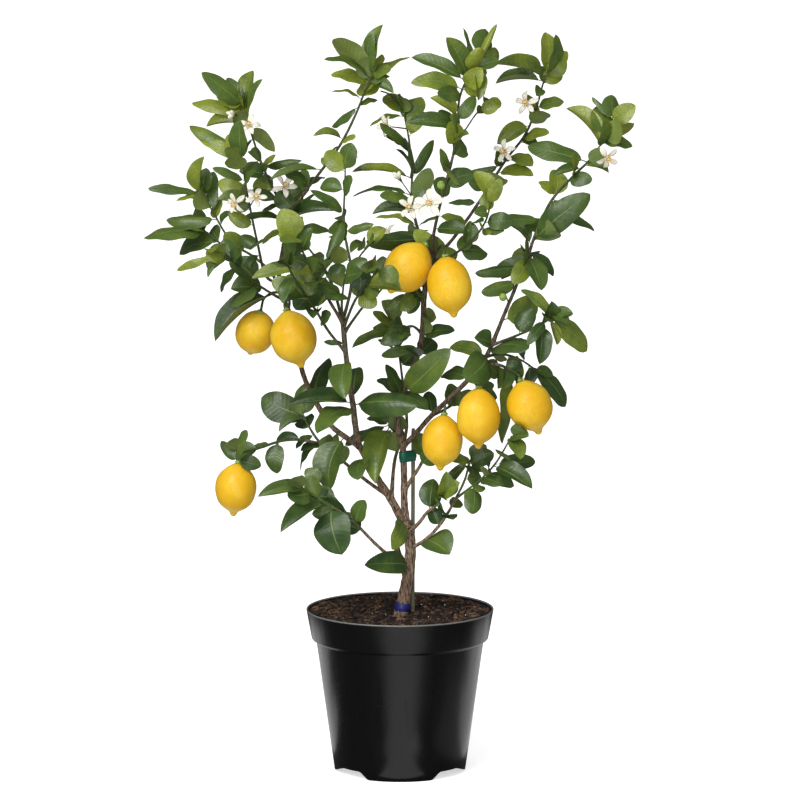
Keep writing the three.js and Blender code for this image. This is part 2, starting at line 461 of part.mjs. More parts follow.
// ---- Leaves and petals ----
// A thin arched blade from root to tip. Stations run from root to tip as [share, half width].
function blade({ root, tip, roll }, stations) {
  const along = tip.clone().sub(root);
  const length = along.length();
  along.divideScalar(length);
  const outward = new THREE.Vector3(root.x, root.y, 0).normalize();
  const above = outward.clone().multiplyScalar(LEAF.faceOutward)
    .add(new THREE.Vector3(0, -LEAF.faceForward, LEAF.faceUp)).normalize();
  if (Math.abs(above.dot(along)) > LEAF.faceLimit) above.copy(outward).setZ(1).normalize();
  const side = new THREE.Vector3().crossVectors(along, above).normalize().applyAxisAngle(along, roll);
  const face = new THREE.Vector3().crossVectors(side, along);
  const rows = stations.length - 1;
  const geometry = new THREE.BoxGeometry(1, 1, 1, 1, rows, 1);
  const position = geometry.attributes.position;
  for (let i = 0; i < position.count; i++) {
    const [share, halfWidth] = stations[Math.round((position.getY(i) + 0.5) * rows)];
    const rise = 4 * LEAF.arch * share * (1 - share) * length;
    const point = root.clone()
      .addScaledVector(along, length * share)
      .addScaledVector(face, rise + position.getZ(i) * LEAF.thickness)
      .addScaledVector(side, 2 * position.getX(i) * halfWidth);
    position.setXYZ(i, point.x, point.y, point.z);
  }
  return solid(geometry);
}

function leafStations(length, width) {
  const half = width / 2;
  const root = [0, 0];
  if (length > LEAF.largeLength) {
    return [root, [0.15, LEAF.stalkHalfWidth], [0.42, half], [0.75, 0.7 * half], [1, 0]];
  }
  return length > LEAF.mediumLength
    ? [root, [0.38, half], [0.74, 0.7 * half], [1, 0]]
    : [root, [0.5, half], [1, 0]];
}

// A leaf's blade, whole or only from a share of its length on.
function leafBlade(leaf, from = 0) {
  const stations = leafStations(leaf.root.distanceTo(leaf.tip), leaf.width);
  const start = [from, 0.5 * stations[1][1]];
  return blade(leaf, from > 0 ? [start, ...stations.slice(1)] : stations);
}

// One try at leaf number k of a stem: the shares, angles and sizes are drawn anew for each try.
function leafByRule(stem, k, attempt) {
  const [count, from, size] = stem.leaves;
  const draw = draws(stem.number * 10000 + k * 100 + attempt);
  const share = from + (1 - from) * Math.min(1, (k + SPRAY.placeDraw * draw()) / (count - 0.5));
  const along = stem.route.direction(share);
  const across = Math.abs(along.z) > 0.8 ? new THREE.Vector3(1, 0, 0) : new THREE.Vector3(0, 0, 1);
  const right = new THREE.Vector3().crossVectors(along, across).normalize();
  const ahead = new THREE.Vector3().crossVectors(right, along);
  const turnDraw = (draw() - 0.5) * SPRAY.turnDraw;
  const turn = k * GOLDEN_ANGLE + stem.number + turnDraw + attempt * SPRAY.turnPerTry;
  const lean = SPRAY.leanAtFoot - SPRAY.leanLoss * share + (draw() - 0.5) * SPRAY.leanDraw;
  const length = size * (SPRAY.shortest + SPRAY.lengthDraw * draw());
  const direction = along.clone().multiplyScalar(Math.cos(lean))
    .addScaledVector(right, Math.sin(lean) * Math.cos(turn))
    .addScaledVector(ahead, Math.sin(lean) * Math.sin(turn));
  direction.z -= LEAF.droop;
  const root = stem.route.getPoint(share);
  const tip = root.clone().addScaledVector(direction.normalize(), length);
  return { root, tip, width: length * LEAF.widthRatio, roll: (draw() - 0.5) * SPRAY.rollDraw };
}

// One try at a leaf that stands out: its tip moves nearer and farther until the leaf is clear.
function leafByHand(stem, [share, tip, width], attempt) {
  const steps = Math.ceil(attempt / 2) * (attempt % 2 ? 1 : -1);
  const root = stem.route.getPoint(share);
  const moved = new THREE.Vector3(tip[0], tip[1] + LEAF.handShift * steps, tip[2]);
  return { root, tip: moved, width, roll: LEAF.handRoll * steps };
}

// ---- What is already in place, so that leaves keep clear of it ----
const placed = [];
const bodies = new Map();

function reserve(node, whole, probe = whole) {
  placed.push({ node, whole, probe, wholeBox: whole.boundingBox(), probeBox: probe.boundingBox() });
}

function place(node, piece, probe = piece) {
  reserve(node, piece, probe);
  bodies.set(node, [...(bodies.get(node) ?? []), piece]);
}

function boxesNear(a, b, reach) {
  return [0, 1, 2].every((i) => a.min[i] - reach < b.max[i] && b.min[i] - reach < a.max[i]);
}

// Whether a leaf keeps its clearance; leaves of one node are tested past their stalks only.
function isClear(node, whole, probe) {
  const wholeBox = whole.boundingBox();
  const probeBox = probe.boundingBox();
  return placed.every((other) => {
    const same = other.node === node;
    const near = same
      ? boxesNear(probeBox, other.probeBox, LEAF.clearance)
      : boxesNear(wholeBox, other.wholeBox, LEAF.clearance);
    if (!near) return true;
    const gap = same
      ? probe.minGap(other.probe, LEAF.clearance)
      : whole.minGap(other.whole, LEAF.clearance);
    return gap >= LEAF.clearance;
  });
}

// ---- Pot and soil ----
function lathe(profile, sides) {
  const points = profile.map(([radius, height]) => new THREE.Vector2(radius, height));
  return new THREE.LatheGeometry(points, sides).rotateX(Math.PI / 2);
}

const bandSlope = (POT.rimRadius - POT.bandRadius) / (POT.height - POT.bandBottom);
const innerBand = (z) => POT.bandRadius - POT.rimWall + bandSlope * (z - POT.bandBottom);
const innerShoulder = POT.shoulderRadius - POT.wall;
const innerBase = POT.baseRadius - POT.wall + 1;
const hubTopRadius = POT.hubRadius + 4;
const hubFloorRadius = POT.hubRadius - 2;

function potSolid() {
  const P = POT;
  const shell = solid(lathe([
    [0, 0], [P.hubRadius, 0], [P.hubRadius + P.hubFlare, P.floorUnder],
    [P.baseRadius - P.lipWidth, P.floorUnder], [P.baseRadius - P.lipWidth + 0.5, 0],
    [P.baseRadius, 0], [P.shoulderRadius, P.bandBottom - 3],
    [P.bandRadius, P.bandBottom], [P.rimRadius, P.height], [P.rimRadius - P.rimWall, P.height],
    [innerBand(P.bandBottom + 1), P.bandBottom + 1], [innerShoulder, P.bandBottom - 2],
    [innerBase, P.floorTop], [hubTopRadius, P.floorTop], [hubFloorRadius, P.hubDip], [0, P.hubDip],
  ], P.sides));
  const [[footStart, footEnd], [topStart, topEnd]] = [P.notchFoot, P.notchTop];
  const outline = [
    [footStart, -1], [footEnd, -1], [topEnd, P.notchHeight], [topStart, P.notchHeight],
  ];
  const notch = ([degrees, hand]) => {
    const shape = new THREE.Shape(outline.map(([x, z]) => new THREE.Vector2(hand * x, z)));
    const cut = new THREE.ExtrudeGeometry(shape, { depth: P.notchReach, bevelEnabled: false });
    cut.rotateX(Math.PI / 2).translate(0, P.baseRadius + P.notchOutset, 0);
    return solid(cut.rotateZ(THREE.MathUtils.degToRad(degrees)));
  };
  return P.notches.reduce((pot, place) => pot.subtract(notch(place)), shell);
}

function soilSolid() {
  const edgeLevel = SOIL.level + SOIL.edgeRise;
  const geometry = lathe([
    [0, POT.hubDip + GAP], [hubFloorRadius - 0.4, POT.hubDip + GAP],
    [hubTopRadius - 0.4, POT.floorTop + GAP], [innerBase - GAP, POT.floorTop + GAP],
    [innerShoulder - GAP, POT.bandBottom - 1.8],
    [innerBand(POT.bandBottom + 1) - GAP, POT.bandBottom + 1.2],
    [innerBand(edgeLevel) - GAP, edgeLevel],
    ...SOIL.ringRadii.map((radius) => [radius, SOIL.level]), [0, SOIL.level],
  ], POT.sides);
  const position = geometry.attributes.position;
  for (let i = 0; i < position.count; i++) {
    const [x, y] = [position.getX(i), position.getY(i)];
    if (position.getZ(i) < SOIL.level - 0.01 || Math.hypot(x, y) > SOIL.ringRadii[0] + 1) continue;
    const [first, second] = [LUMPS.first, LUMPS.second].map((wave) => wave[0] * x + wave[1] * y);
    position.setZ(i, SOIL.level + SOIL.relief * Math.sin(first) * Math.cos(second));
  }
  return solid(geometry);
}

// ---- Lemons ----
const up = new THREE.Vector3(0, 0, 1);

function lemonFrame({ centre, nipple, length }) {
  const axis = vector(nipple).normalize().negate();
  const middle = vector(centre);
  const top = middle.clone().addScaledVector(axis, (LEMON_PROFILE.at(-1)[0] - 0.5) * length);
  return { axis, middle, top, turn: new THREE.Quaternion().setFromUnitVectors(up, axis) };
}

function lemonGeometry({ length, width }) {
  const profile = LEMON_PROFILE.map(
    ([share, radius]) => [(radius * width) / 2, (share - 0.5) * length],
  );
  return geometryOf(solid(lathe(profile, LEMON_SIDES)));
}

// ---- Assembly ----
const tree = new THREE.Group();

function addMesh(name, geometry, look) {
  const [colour, roughness] = COLOURS[look];
  const material = new THREE.MeshStandardMaterial({ color: colour, roughness, metalness: 0 });
  const mesh = new THREE.Mesh(geometry, material);
  mesh.name = name;
  tree.add(mesh);
  return mesh;
}

function placeLemons() {
  for (const lemon of LEMONS) {
    const { middle, turn } = lemonFrame(lemon);
    const mesh = addMesh(lemon.name, lemonGeometry(lemon), "lemon");
    mesh.position.copy(middle);
    mesh.quaternion.copy(turn);
    mesh.updateMatrix();
    reserve(lemon.name, solid(mesh.geometry.clone().applyMatrix4(mesh.matrix)));
  }
}

// A stem, and the stub of its parent that it begins on where the two are separate nodes.
function placeStem(stem, number) {
  stem.number = number;
  const points = stem.points.map(vector);
  if (stem.fruit) {
    const { top, axis } = lemonFrame(LEMONS.find(({ name }) => name === stem.fruit));
    const seat = top.clone().addScaledVector(axis, GAP);
    points.push(top.clone().addScaledVector(axis, STALK_RISE), seat);
    const spread = (share) => (share ? stem.radii[1] : CALYX_RADIUS);
    place(stem.node, tube([seat, seat.clone().addScaledVector(axis, CALYX_HEIGHT)], 6, spread));
  }
  stem.route = new Route(points);
  const [start, end] = stem.radii;
  const sides = stem.sides ?? 4;
  const body = [...points];
  if (stem.stub) {
    const direction = stem.route.direction(0);
    const face = points[0].clone().addScaledVector(direction, stem.stub);
    place(PARENTS[stem.node], tube([points[0], face], sides, () => start + STUB_SWELL));
    body[0] = face.clone().addScaledVector(direction, GAP);
  }
  place(stem.node, tube(body, sides, (share) => THREE.MathUtils.lerp(start, end, share)));
}

// A flower's star of petals around its core, standing on the origin and opening along +Z.
function starGeometry(span) {
  const reach = span / 2;
  const outline = [];
  for (let i = 0; i < FLOWER.petals; i++) {
    const turn = (2 * Math.PI * i) / FLOWER.petals;
    for (const [share, aside] of FLOWER.petalOutline) {
      const angle = turn + aside;
      outline.push(new THREE.Vector2(reach * share * Math.cos(angle), reach * share * Math.sin(angle)));
    }
  }
  const geometry = new THREE.ExtrudeGeometry(new THREE.Shape(outline), {
    depth: FLOWER.petalThickness,
    bevelEnabled: false,
  });
  const position = geometry.attributes.position;
  for (let i = 0; i < position.count; i++) {
    const share = Math.hypot(position.getX(i), position.getY(i)) / reach;
    position.setZ(i, position.getZ(i) + FLOWER.petalFoot + FLOWER.cup * reach * share * share);
  }
  return geometry;
}

function placeFlower(flower) {
  const stem = STEMS.find(({ name }) => name === flower.stem);
  const foot = stem.route.getPoint(flower.at);
  const base = vector(flower.base);
  const axis = base.clone().sub(foot).normalize();
  const upAxis = (height) => base.clone().addScaledVector(axis, height);
  place(stem.node, tube([foot, upAxis(-CALYX_HEIGHT), base], 4,
    (share) => (share === 1 ? FLOWER.calyxRadius : FLOWER.stalkRadius)));
  place(flower.name, tube([upAxis(GAP), upAxis(GAP + FLOWER.coreHeight)], 4, () => FLOWER.coreRadius));
  const frame = new THREE.Matrix4().compose(
    upAxis(GAP),
    new THREE.Quaternion().setFromUnitVectors(up, axis),
    new THREE.Vector3(1, 1, 1),
  );
  if (flower.span > 0) {
    place(flower.name, solid(starGeometry(flower.span).applyMatrix4(frame)));
    return;
  }
  for (let i = 0; i < BUD.count; i++) {
    const turn = (2 * Math.PI * i) / BUD.count;
    const aside = new THREE.Vector2(BUD.spread * Math.cos(turn), BUD.spread * Math.sin(turn));
    const lean = new THREE.Vector3(aside.x, aside.y, 1).normalize();
    const along = (height) => lean.clone().multiplyScalar(height)
      .add(new THREE.Vector3(0, 0, BUD.foot)).applyMatrix4(frame);
    place(flower.name, tube([along(0), along(0.5 * BUD.length), along(BUD.length)], 4,
      (share) => (BUD.width / 2) * (share === 0.5 ? 1 : BUD.endShare)));
  }
}

function placeLeaf(stem, tryLeaf) {
  for (let attempt = 0; attempt < LEAF.attempts; attempt++) {
    const leaf = tryLeaf(attempt);
    const whole = leafBlade(leaf);
    const probe = leafBlade(leaf, LEAF.probeFrom);
    if (!isClear(stem.node, whole, probe)) continue;
    place(stem.node, whole, probe);
    return;
  }
}

function placeBand(bole) {
  const [foot, second] = bole.points.map(vector);
  const at = (height) => foot.clone().lerp(second, (height - foot.z) / (second.z - foot.z));
  const radius = THREE.MathUtils.lerp(...bole.radii, BAND.boleShare);
  const ring = (extra, over) => tube(
    [at(BAND.bottom - over), at(BAND.bottom + BAND.height + over)], bole.sides, () => radius + extra);
  const outer = ring(BAND.clearance + BAND.thickness, 0);
  place("graft_band", outer.subtract(ring(BAND.clearance, 3)));
}

// The outline of a band drawn tight round two circles.
function roundTwo(first, second, firstRadius, secondRadius) {
  const across = second.clone().sub(first);
  const facing = Math.atan2(across.y, across.x);
  const open = Math.acos((firstRadius - secondRadius) / across.length());
  const points = [];
  const arc = (centre, radius, from, to) => {
    for (let i = 0; i <= 6; i++) {
      const angle = THREE.MathUtils.lerp(from, to, i / 6);
      const [x, y] = [centre.x + radius * Math.cos(angle), centre.y + radius * Math.sin(angle)];
      points.push(new THREE.Vector2(x, y));
    }
  };
  arc(first, firstRadius, facing + open, facing + 2 * Math.PI - open);
  arc(second, secondRadius, facing - open, facing + open);
  return new THREE.Shape(points);
}

function placeTape(stem) {
  const share = (TAPE.bottom + TAPE.height / 2 - STAKE.foot[2]) / (STAKE.top[2] - STAKE.foot[2]);
  const stake = vector(STAKE.foot).lerp(vector(STAKE.top), share);
  const wood = stem.route.getPoint(TAPE.stemShare);
  const ring = (extra, height) => {
    const outline = roundTwo(wood, stake, stem.radii[1] + extra, STAKE.radius + extra);
    const bottom = TAPE.bottom + (TAPE.height - height) / 2;
    return solid(new THREE.ExtrudeGeometry(outline, { depth: height, bevelEnabled: false })
      .translate(0, 0, bottom));
  };
  const outer = ring(TAPE.clearance + TAPE.thickness, TAPE.height);
  place("tie_tape", outer.subtract(ring(TAPE.clearance, TAPE.height + 4)));
}

const stakePoints = [STAKE.foot, STAKE.top].map(vector);

// A stem's plain hole in the soil, a little wider and deeper than the stem.
function hole([foot, above], sides, radius) {
  const deeper = foot.clone().addScaledVector(foot.clone().sub(above).normalize(), SOIL.holeGap);
  return tube([deeper, above], sides, () => radius + SOIL.holeGap);
}

place("pot", potSolid());
placeLemons();
STEMS.forEach((stem, index) => placeStem(stem, index + 1));
const [bole, , midStem] = STEMS;
placeBand(bole);
placeTape(midStem);
place("stake", tube(stakePoints, 8, () => STAKE.radius));
place("soil", soilSolid()
  .subtract(hole(bole.points.map(vector), bole.sides, bole.radii[0]))
  .subtract(hole(stakePoints, 8, STAKE.radius)));
FLOWERS.forEach(placeFlower);
for (const stem of STEMS) {
  for (const row of LEAVES[stem.name] ?? []) {
    placeLeaf(stem, (attempt) => leafByHand(stem, row, attempt));
  }
}
for (const stem of STEMS.filter(({ leaves }) => leaves)) {
  for (let k = 0; k < stem.leaves[0]; k++) {
    placeLeaf(stem, (attempt) => leafByRule(stem, k, attempt));
  }
}

const LOOKS = {
  pot: "pot", soil: "soil", stake: "stake", tie_tape: "tape", graft_band: "band", trunk: "bark",
  limb_centre: "bark", limb_left: "bark", limb_left_back: "bark", limb_right: "bark",
};
for (const [name, pieces] of bodies) {
  const look = LOOKS[name] ?? (/^(flower|buds)/.test(name) ? "petal" : "shoot");
  addMesh(name, geometryOf(wasm.Manifold.union(pieces)), look);
}

export default tree;
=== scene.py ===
"""A young lemon tree in a nursery pot: the looks of the tree, its fruit, blossom and pot."""
import json
from math import acos, atan2, ceil, cos, degrees, exp, hypot, pi, radians, sin
from types import SimpleNamespace as Group

import bpy
from bpy.props import FloatProperty, FloatVectorProperty, IntProperty, PointerProperty
from mathutils import Matrix, Quaternion, Vector, kdtree, noise

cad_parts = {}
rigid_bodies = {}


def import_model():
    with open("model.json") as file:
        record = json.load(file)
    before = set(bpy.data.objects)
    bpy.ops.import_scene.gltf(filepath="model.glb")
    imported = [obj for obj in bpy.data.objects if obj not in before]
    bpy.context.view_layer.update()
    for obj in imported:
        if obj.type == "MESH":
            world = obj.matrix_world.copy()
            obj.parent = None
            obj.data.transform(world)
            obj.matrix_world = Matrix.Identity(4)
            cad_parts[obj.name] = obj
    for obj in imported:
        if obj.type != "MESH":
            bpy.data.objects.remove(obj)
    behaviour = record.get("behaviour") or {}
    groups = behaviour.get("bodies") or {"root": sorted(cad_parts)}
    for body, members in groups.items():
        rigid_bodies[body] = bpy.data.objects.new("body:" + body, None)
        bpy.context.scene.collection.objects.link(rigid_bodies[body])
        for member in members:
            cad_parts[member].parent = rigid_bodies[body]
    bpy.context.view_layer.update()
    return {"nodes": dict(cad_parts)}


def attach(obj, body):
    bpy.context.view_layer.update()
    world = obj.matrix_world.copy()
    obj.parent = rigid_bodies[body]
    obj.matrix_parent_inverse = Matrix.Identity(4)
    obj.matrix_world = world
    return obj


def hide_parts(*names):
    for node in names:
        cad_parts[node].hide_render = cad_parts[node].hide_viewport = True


bl_info = {
    "name": "Potted Lemon Tree",
    "version": (1, 0, 0),
    "blender": (4, 5, 0),
    "location": "View3D > Sidebar > Lemon Tree",
    "description": "Builds a young lemon tree with fruit and blossom in its pot",
    "category": "Add Mesh",
}

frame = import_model()
BODY = "root"
MM = 0.001

# ---- Sizes in millimetres, +Z up, the front towards -Y ----
POT = Group(
    height=235, rim_radius=135, rim_wall=2.4, band_radius=127, band_bottom=192,
    shoulder_radius=120.5, base_radius=94.5, wall=2.2, floor_top=15, floor_under=12,
    hub_radius=62, hub_dip=3, lip_width=4, notch_height=11.6,
    # Degrees from the front or the back where a notch starts and ends, and how far it slopes.
    notch_from=28, notch_rise=10, notch_to=84, notch_fall=27,
)
# The surface rises towards the wall from a radius on, and dips round the trunk; lumps are the
# heights of its large and its fine relief.
SOIL = Group(
    level=226.5, settled=0.8, edge=131.3, edge_rise=5.5, rise_from=90, dip=3.6, dip_width=55,
    fade=12, rings=38, sides=96, bed_radius=126, bed_rings=20, bed_sides=48, bed_lift=0.6,
    lumps=(2.2, 2.4), side=((0, 16), (92.5, 16), (116.8, 189), (123.6, 194.5)),
)
STAKE = Group(radius=3, foot=(18, 22, 150), top=(19, 18, 494), rings=60, between_nodes=2.9,
              node_swell=0.3, node_gap=17, end=2.4)
# Each wrap of the band: inner and outer radius, where it starts and its share of the height.
BAND = Group(bottom=230, height=14, wraps=((9.3, 10.2, 0.0, 1.0), (10.1, 10.8, 0.12, 0.62)))
# The edges of the band and of the tape: how uneven, how fine that is, and their bevel.
EDGE = Group(wave=0.5, fineness=0.25, bevel=0.5, bevel_from=0.55)
# Each wrap of the tape: clearance inside and outside, where it starts, its share of the height
# and its unevenness.
TAPE = Group(bottom=447, height=15, stem_share=0.77,
             wraps=((0.5, 1.3, 0, 0.72, 1), (1.2, 2.0, 0.3, 0.7, 5)))

# How the leaves of the frame are spread; the same rule finds each one again.
BLADE = Group(
    thickness=0.7, droop=0.22, width_ratio=0.52, attempts=14,
    face_outward=0.5, face_forward=0.75, face_up=0.6, face_limit=0.93,
    hand_shift=11, hand_roll=0.12, found_within=0.08,
)
SPRAY = Group(
    place_draw=0.7, turn_draw=0.8, turn_per_try=0.9, lean_at_foot=1.15, lean_loss=0.6,
    lean_draw=0.4, shortest=0.78, length_draw=0.44, roll_draw=0.9,
)
GOLDEN_ANGLE = 2.39996
# Small leaves that are added: share of a leaf's length that they keep, share of it that stays
# clear of other leaves, and distance from the lemons.
EXTRA = Group(length=0.9, reach=0.26, off_lemons=4)
# Lines of the stems: parts between waypoints; flare at the foot, share and height, of the first
# stem and of the others; rings where leaves stood; radii at which green turns to bark.
STEM = Group(parts=6, first_flare=(0.35, 40), flare=(0.45, 7), node_gap=17, node_swell=0.25,
             green_to=1.25, turns_old_in=1.7)
# Stalks: radius and age at each point from the stem up.
FLOWER_STALK = ((1.1, 0.2), (0.8, 0), (1.3, 0), (2.3, 0))
FRUITLET_STALK = ((1.2, 0.1), (1.0, 0), (1.5, 0))

# Stems: node and name, where they differ, radius at the start and at the end, the leaves set
# out by rule as their number, the share of the stem below them and their length, and the
# points up the middle.
STEM_ROWS = (
    ("trunk/bole", 9.2, 7.4, (), (-5, 0, 192), (8, 0, 261), (13, 1, 290), (15, 3, 327),
     (9, 3, 362)),
    ("trunk/knot", 5.6, 4.4, (), (10, 1, 286), (0, 4, 306), (-6, 5, 328)),
    ("trunk/mid_stem", 5.2, 4.5, (), (9, 3, 356), (6, 3, 392), (6, 4, 421), (5, 5, 450),
     (4, 5, 475)),
    ("trunk/left_stem", 6.2, 4.6, (), (8, 0, 352), (-4, -1, 378), (-16, -3, 399), (-33, -4, 426),
     (-53, -5, 463), (-61, -7, 478)),
    ("trunk/inner_left", 3, 1.8, (1, 0.45, 40), (-12, -3, 394), (-10, 11, 428), (-7, 16, 451),
     (-1, 23, 476), (-16, 27, 497)),
    ("trunk/inner_right", 2.8, 1.7, (1, 0.5, 38), (6, 3, 404), (17, -5, 425), (27, -4, 440),
     (36, 8, 457), (40, 19, 479)),
    ("trunk/low_right", 3, 1.7, (1, 0.4, 36), (12, 1, 346), (26, -16, 361), (39, -30, 380),
     (54, -40, 394), (59, -46, 410)),
    ("limb_centre/centre_limb", 4.5, 4, (1, 0.4, 42), (4, 5, 474), (-3, 0, 500), (-2, 0, 525),
     (9, -1, 559), (20, -1, 588), (29, -3, 615), (33, -3, 648), (34, -4, 682), (37, -4, 704),
     (43, -5, 728), (47, -5, 746)),
    ("limb_centre/centre_sprout", 2, 1.2, (1, 0.6, 34), (34, -4, 676), (26, -16, 691),
     (13, -32, 695)),
    ("limb_centre/centre_spur", 2, 1.2, (1, 0.5, 36), (31, -3, 634), (17, -19, 647),
     (0, -35, 643)),
    ("centre_back/back_stem", 2.6, 1.3, (3, 0.35, 42), (4, 5, 472), (10, 22, 498), (6, 32, 540),
     (-1, 40, 598), (-7, 46, 639)),
    ("limb_left/left_limb", 4.6, 3.7, (), (-61, -7, 478), (-64, -20, 505), (-67, -34, 535),
     (-71, -47, 566), (-77, -58, 614), (-81, -68, 662)),
    ("limb_left/left_front", 1.9, 1.1, (2, 0.4, 40), (-81, -68, 658), (-82, -84, 688),
     (-80, -100, 709), (-77, -111, 732)),
    ("limb_left/left_mid", 2.1, 1.2, (1, 0.35, 42), (-78, -63, 644), (-54, -49, 676),
     (-37, -38, 689), (-19, -20, 709)),
    ("left_low", 2.3, 1.2, (3, 0.3, 44), (-77, -58, 614), (-102, -74, 648), (-119, -92, 679),
     (-146, -119, 724), (-157, -128, 746)),
    ("left_fork", 2.5, 1.2, (4, 0.3, 46), (-81, -68, 658), (-102, -84, 695), (-124, -108, 738),
     (-136, -126, 765), (-146, -142, 786)),
    ("left_inner", 2.5, 1.2, (2, 0.3, 44), (-80, -66, 652), (-91, -49, 694), (-105, -40, 728),
     (-125, -34, 754), (-143, -27, 777)),
    ("left_tall", 2.4, 1.1, (1, 0.3, 42), (-81, -68, 660), (-70, -49, 702), (-70, -27, 735),
     (-77, -11, 769), (-80, 5, 803), (-79, 14, 834), (-78, 20, 865)),
    ("left_tall/left_tall_side", 1.5, 1, (1, 0.6, 38), (-70, -31, 727), (-54, -47, 754),
     (-37, -61, 773)),
    ("left_forward", 2.2, 1.2, (3, 0.3, 44), (-80, -66, 650), (-64, -89, 691), (-49, -108, 714),
     (-31, -135, 742)),
    ("limb_left_back/back_limb", 4, 3, (), (-58, -7, 472), (-79, 11, 483), (-101, 27, 499),
     (-125, 51, 535), (-141, 68, 570), (-150, 78, 614), (-159, 81, 652), (-172, 81, 685),
     (-175, 81, 703), (-171, 77, 733), (-167, 74, 754)),
    ("top_middle", 2.7, 1.3, (2, 0.15, 47), (-167, 73, 752), (-157, 62, 795), (-141, 61, 824),
     (-114, 57, 860), (-86, 54, 898), (-64, 53, 941), (-50, 50, 976), (-40, 49, 998)),
    ("top_left", 2.5, 1.3, (2, 0.3, 46), (-168, 76, 745), (-164, 92, 785), (-177, 94, 820),
     (-197, 97, 862), (-212, 103, 904), (-225, 108, 950)),
    ("left_side_front", 2.2, 1.2, (3, 0.3, 46), (-166, 81, 671), (-186, 65, 684), (-212, 27, 707),
     (-236, -4, 735), (-248, -20, 750)),
    ("left_side_back", 2.4, 1.2, (1, 0.4, 48), (-173, 81, 689), (-190, 99, 714), (-224, 119, 738),
     (-255, 132, 745), (-281, 142, 764)),
    ("left_side_back/left_side_back_fork", 1.8, 1.1, (1, 0.4, 44), (-231, 123, 739),
     (-252, 131, 761), (-268, 136, 788), (-286, 142, 818)),
    ("left_side_tall", 2.3, 1.1, (1, 0.3, 44), (-174, 81, 696), (-193, 57, 710), (-203, 30, 756),
     (-214, 9, 815), (-220, 0, 852), (-224, -7, 885)),
    ("centre_tall", 2.6, 1.2, (2, 0.3, 46), (46, -5, 741), (47, -23, 773), (53, -36, 806),
     (64, -53, 852), (75, -54, 895), (81, -46, 937), (84, -36, 973), (96, -24, 1001),
     (117, -14, 1028)),
    ("centre_tall/centre_tall_twig", 1.3, 0.8, (1, 0.6, 30), (78, -51, 914), (91, -38, 927),
     (106, -27, 948), (122, -16, 965)),
    ("centre_left", 2.5, 1.2, (1, 0.25, 46), (44, -5, 733), (34, 12, 762), (23, 28, 789),
     (17, 43, 822), (17, 57, 862), (13, 68, 904), (6, 74, 940)),
    ("right_top", 2.7, 1.2, (3, 0.3, 46), (46, -5, 743), (67, 15, 758), (91, 30, 787),
     (120, 47, 828), (151, 66, 875), (178, 76, 909), (194, 81, 944), (203, 81, 977),
     (209, 81, 997)),
    ("right_front", 2, 1.1, (3, 0.3, 44), (46, -5, 738), (72, -30, 748), (101, -54, 773),
     (120, -70, 801), (128, -81, 831)),
    ("limb_right/right_limb", 3.8, 3, (), (4, 4, 470), (20, -11, 488), (44, -20, 517),
     (71, -30, 545), (99, -36, 574), (121, -40, 604), (132, -40, 626)),
    ("right_tall", 2.9, 1.2, (3, 0.25, 46), (132, -40, 626), (146, -38, 661), (163, -31, 701),
     (181, -20, 745), (195, -12, 784), (216, 0, 825), (245, 7, 857), (271, 14, 882),
     (290, 20, 909), (303, 27, 938)),
    ("right_back", 2.2, 1.2, (2, 0.35, 42), (44, -20, 517), (59, 8, 520), (83, 38, 529),
     (115, 61, 541)),
    ("right_low_front", 2.1, 1.2, (1, 0.3, 42), (130, -40, 622), (156, -61, 635), (184, -86, 650),
     (201, -101, 661), (214, -111, 671)),
    ("right_fruit", 2.3, 1.7, (2, 0.3, 36), (114, -39, 593), (136, -49, 596), (152, -61, 592)),
    ("right_low_back", 2.1, 1.2, (2, 0.3, 44), (122, -40, 606), (147, -18, 606), (172, 0, 596),
     (196, 14, 578)),
    ("base_right", 2.8, 1.4, (2, 0.35, 38), (15, 1, 322), (36, -19, 338), (54, -30, 358),
     (69, -35, 381), (82, -34, 405), (93, -24, 427), (100, -11, 452)),
    ("base_right/base_right_fork", 1.8, 1.2, (2, 0.3, 38), (78, -34, 399), (96, -46, 415),
     (116, -58, 433), (137, -70, 459), (158, -84, 498)),
    ("base_left", 3, 1.5, (2, 0.5, 42), (12, -1, 290), (-14, -22, 314), (-36, -30, 335),
     (-71, -51, 374), (-105, -74, 400), (-135, -88, 423)),
    ("base_left/base_left_fork", 1.7, 1.1, (2, 0.4, 36), (-71, -51, 374), (-92, -38, 401),
     (-117, -20, 420)),
    ("base_back", 2.9, 1.5, (2, 0.3, 44), (-16, -3, 399), (-46, 19, 416), (-82, 43, 442),
     (-114, 61, 465), (-131, 68, 488), (-139, 70, 504)),
    ("base_back/base_back_fork", 2, 1.7, (1, 0.3, 42), (-114, 61, 465), (-144, 40, 474),
     (-172, 20, 475), (-205, -7, 468), (-226, -20, 464)),
    ("limb_centre/stalk_1", 1.9, 1.7, (), (44, -5, 733), (43, -24, 751), (40, -46, 768)),
    ("limb_centre/stalk_2", 1.9, 1.7, (), (46, -5, 741), (54, -27, 758), (60, -54, 766)),
    ("limb_left_back/stalk_3", 1.9, 1.7, (), (-171, 81, 683), (-184, 77, 683), (-196, 73, 675)),
    ("limb_left_back/stalk_4", 1.9, 1.7, (), (-161, 81, 658), (-159, 61, 672), (-162, 32, 677)),
    ("limb_right/stalk_6", 1.9, 1.7, (), (58, -24, 532), (63, -40, 538)),
    ("limb_right/stalk_7", 1.9, 1.7, (), (101, -38, 576), (106, -61, 585), (110, -78, 582)),
)

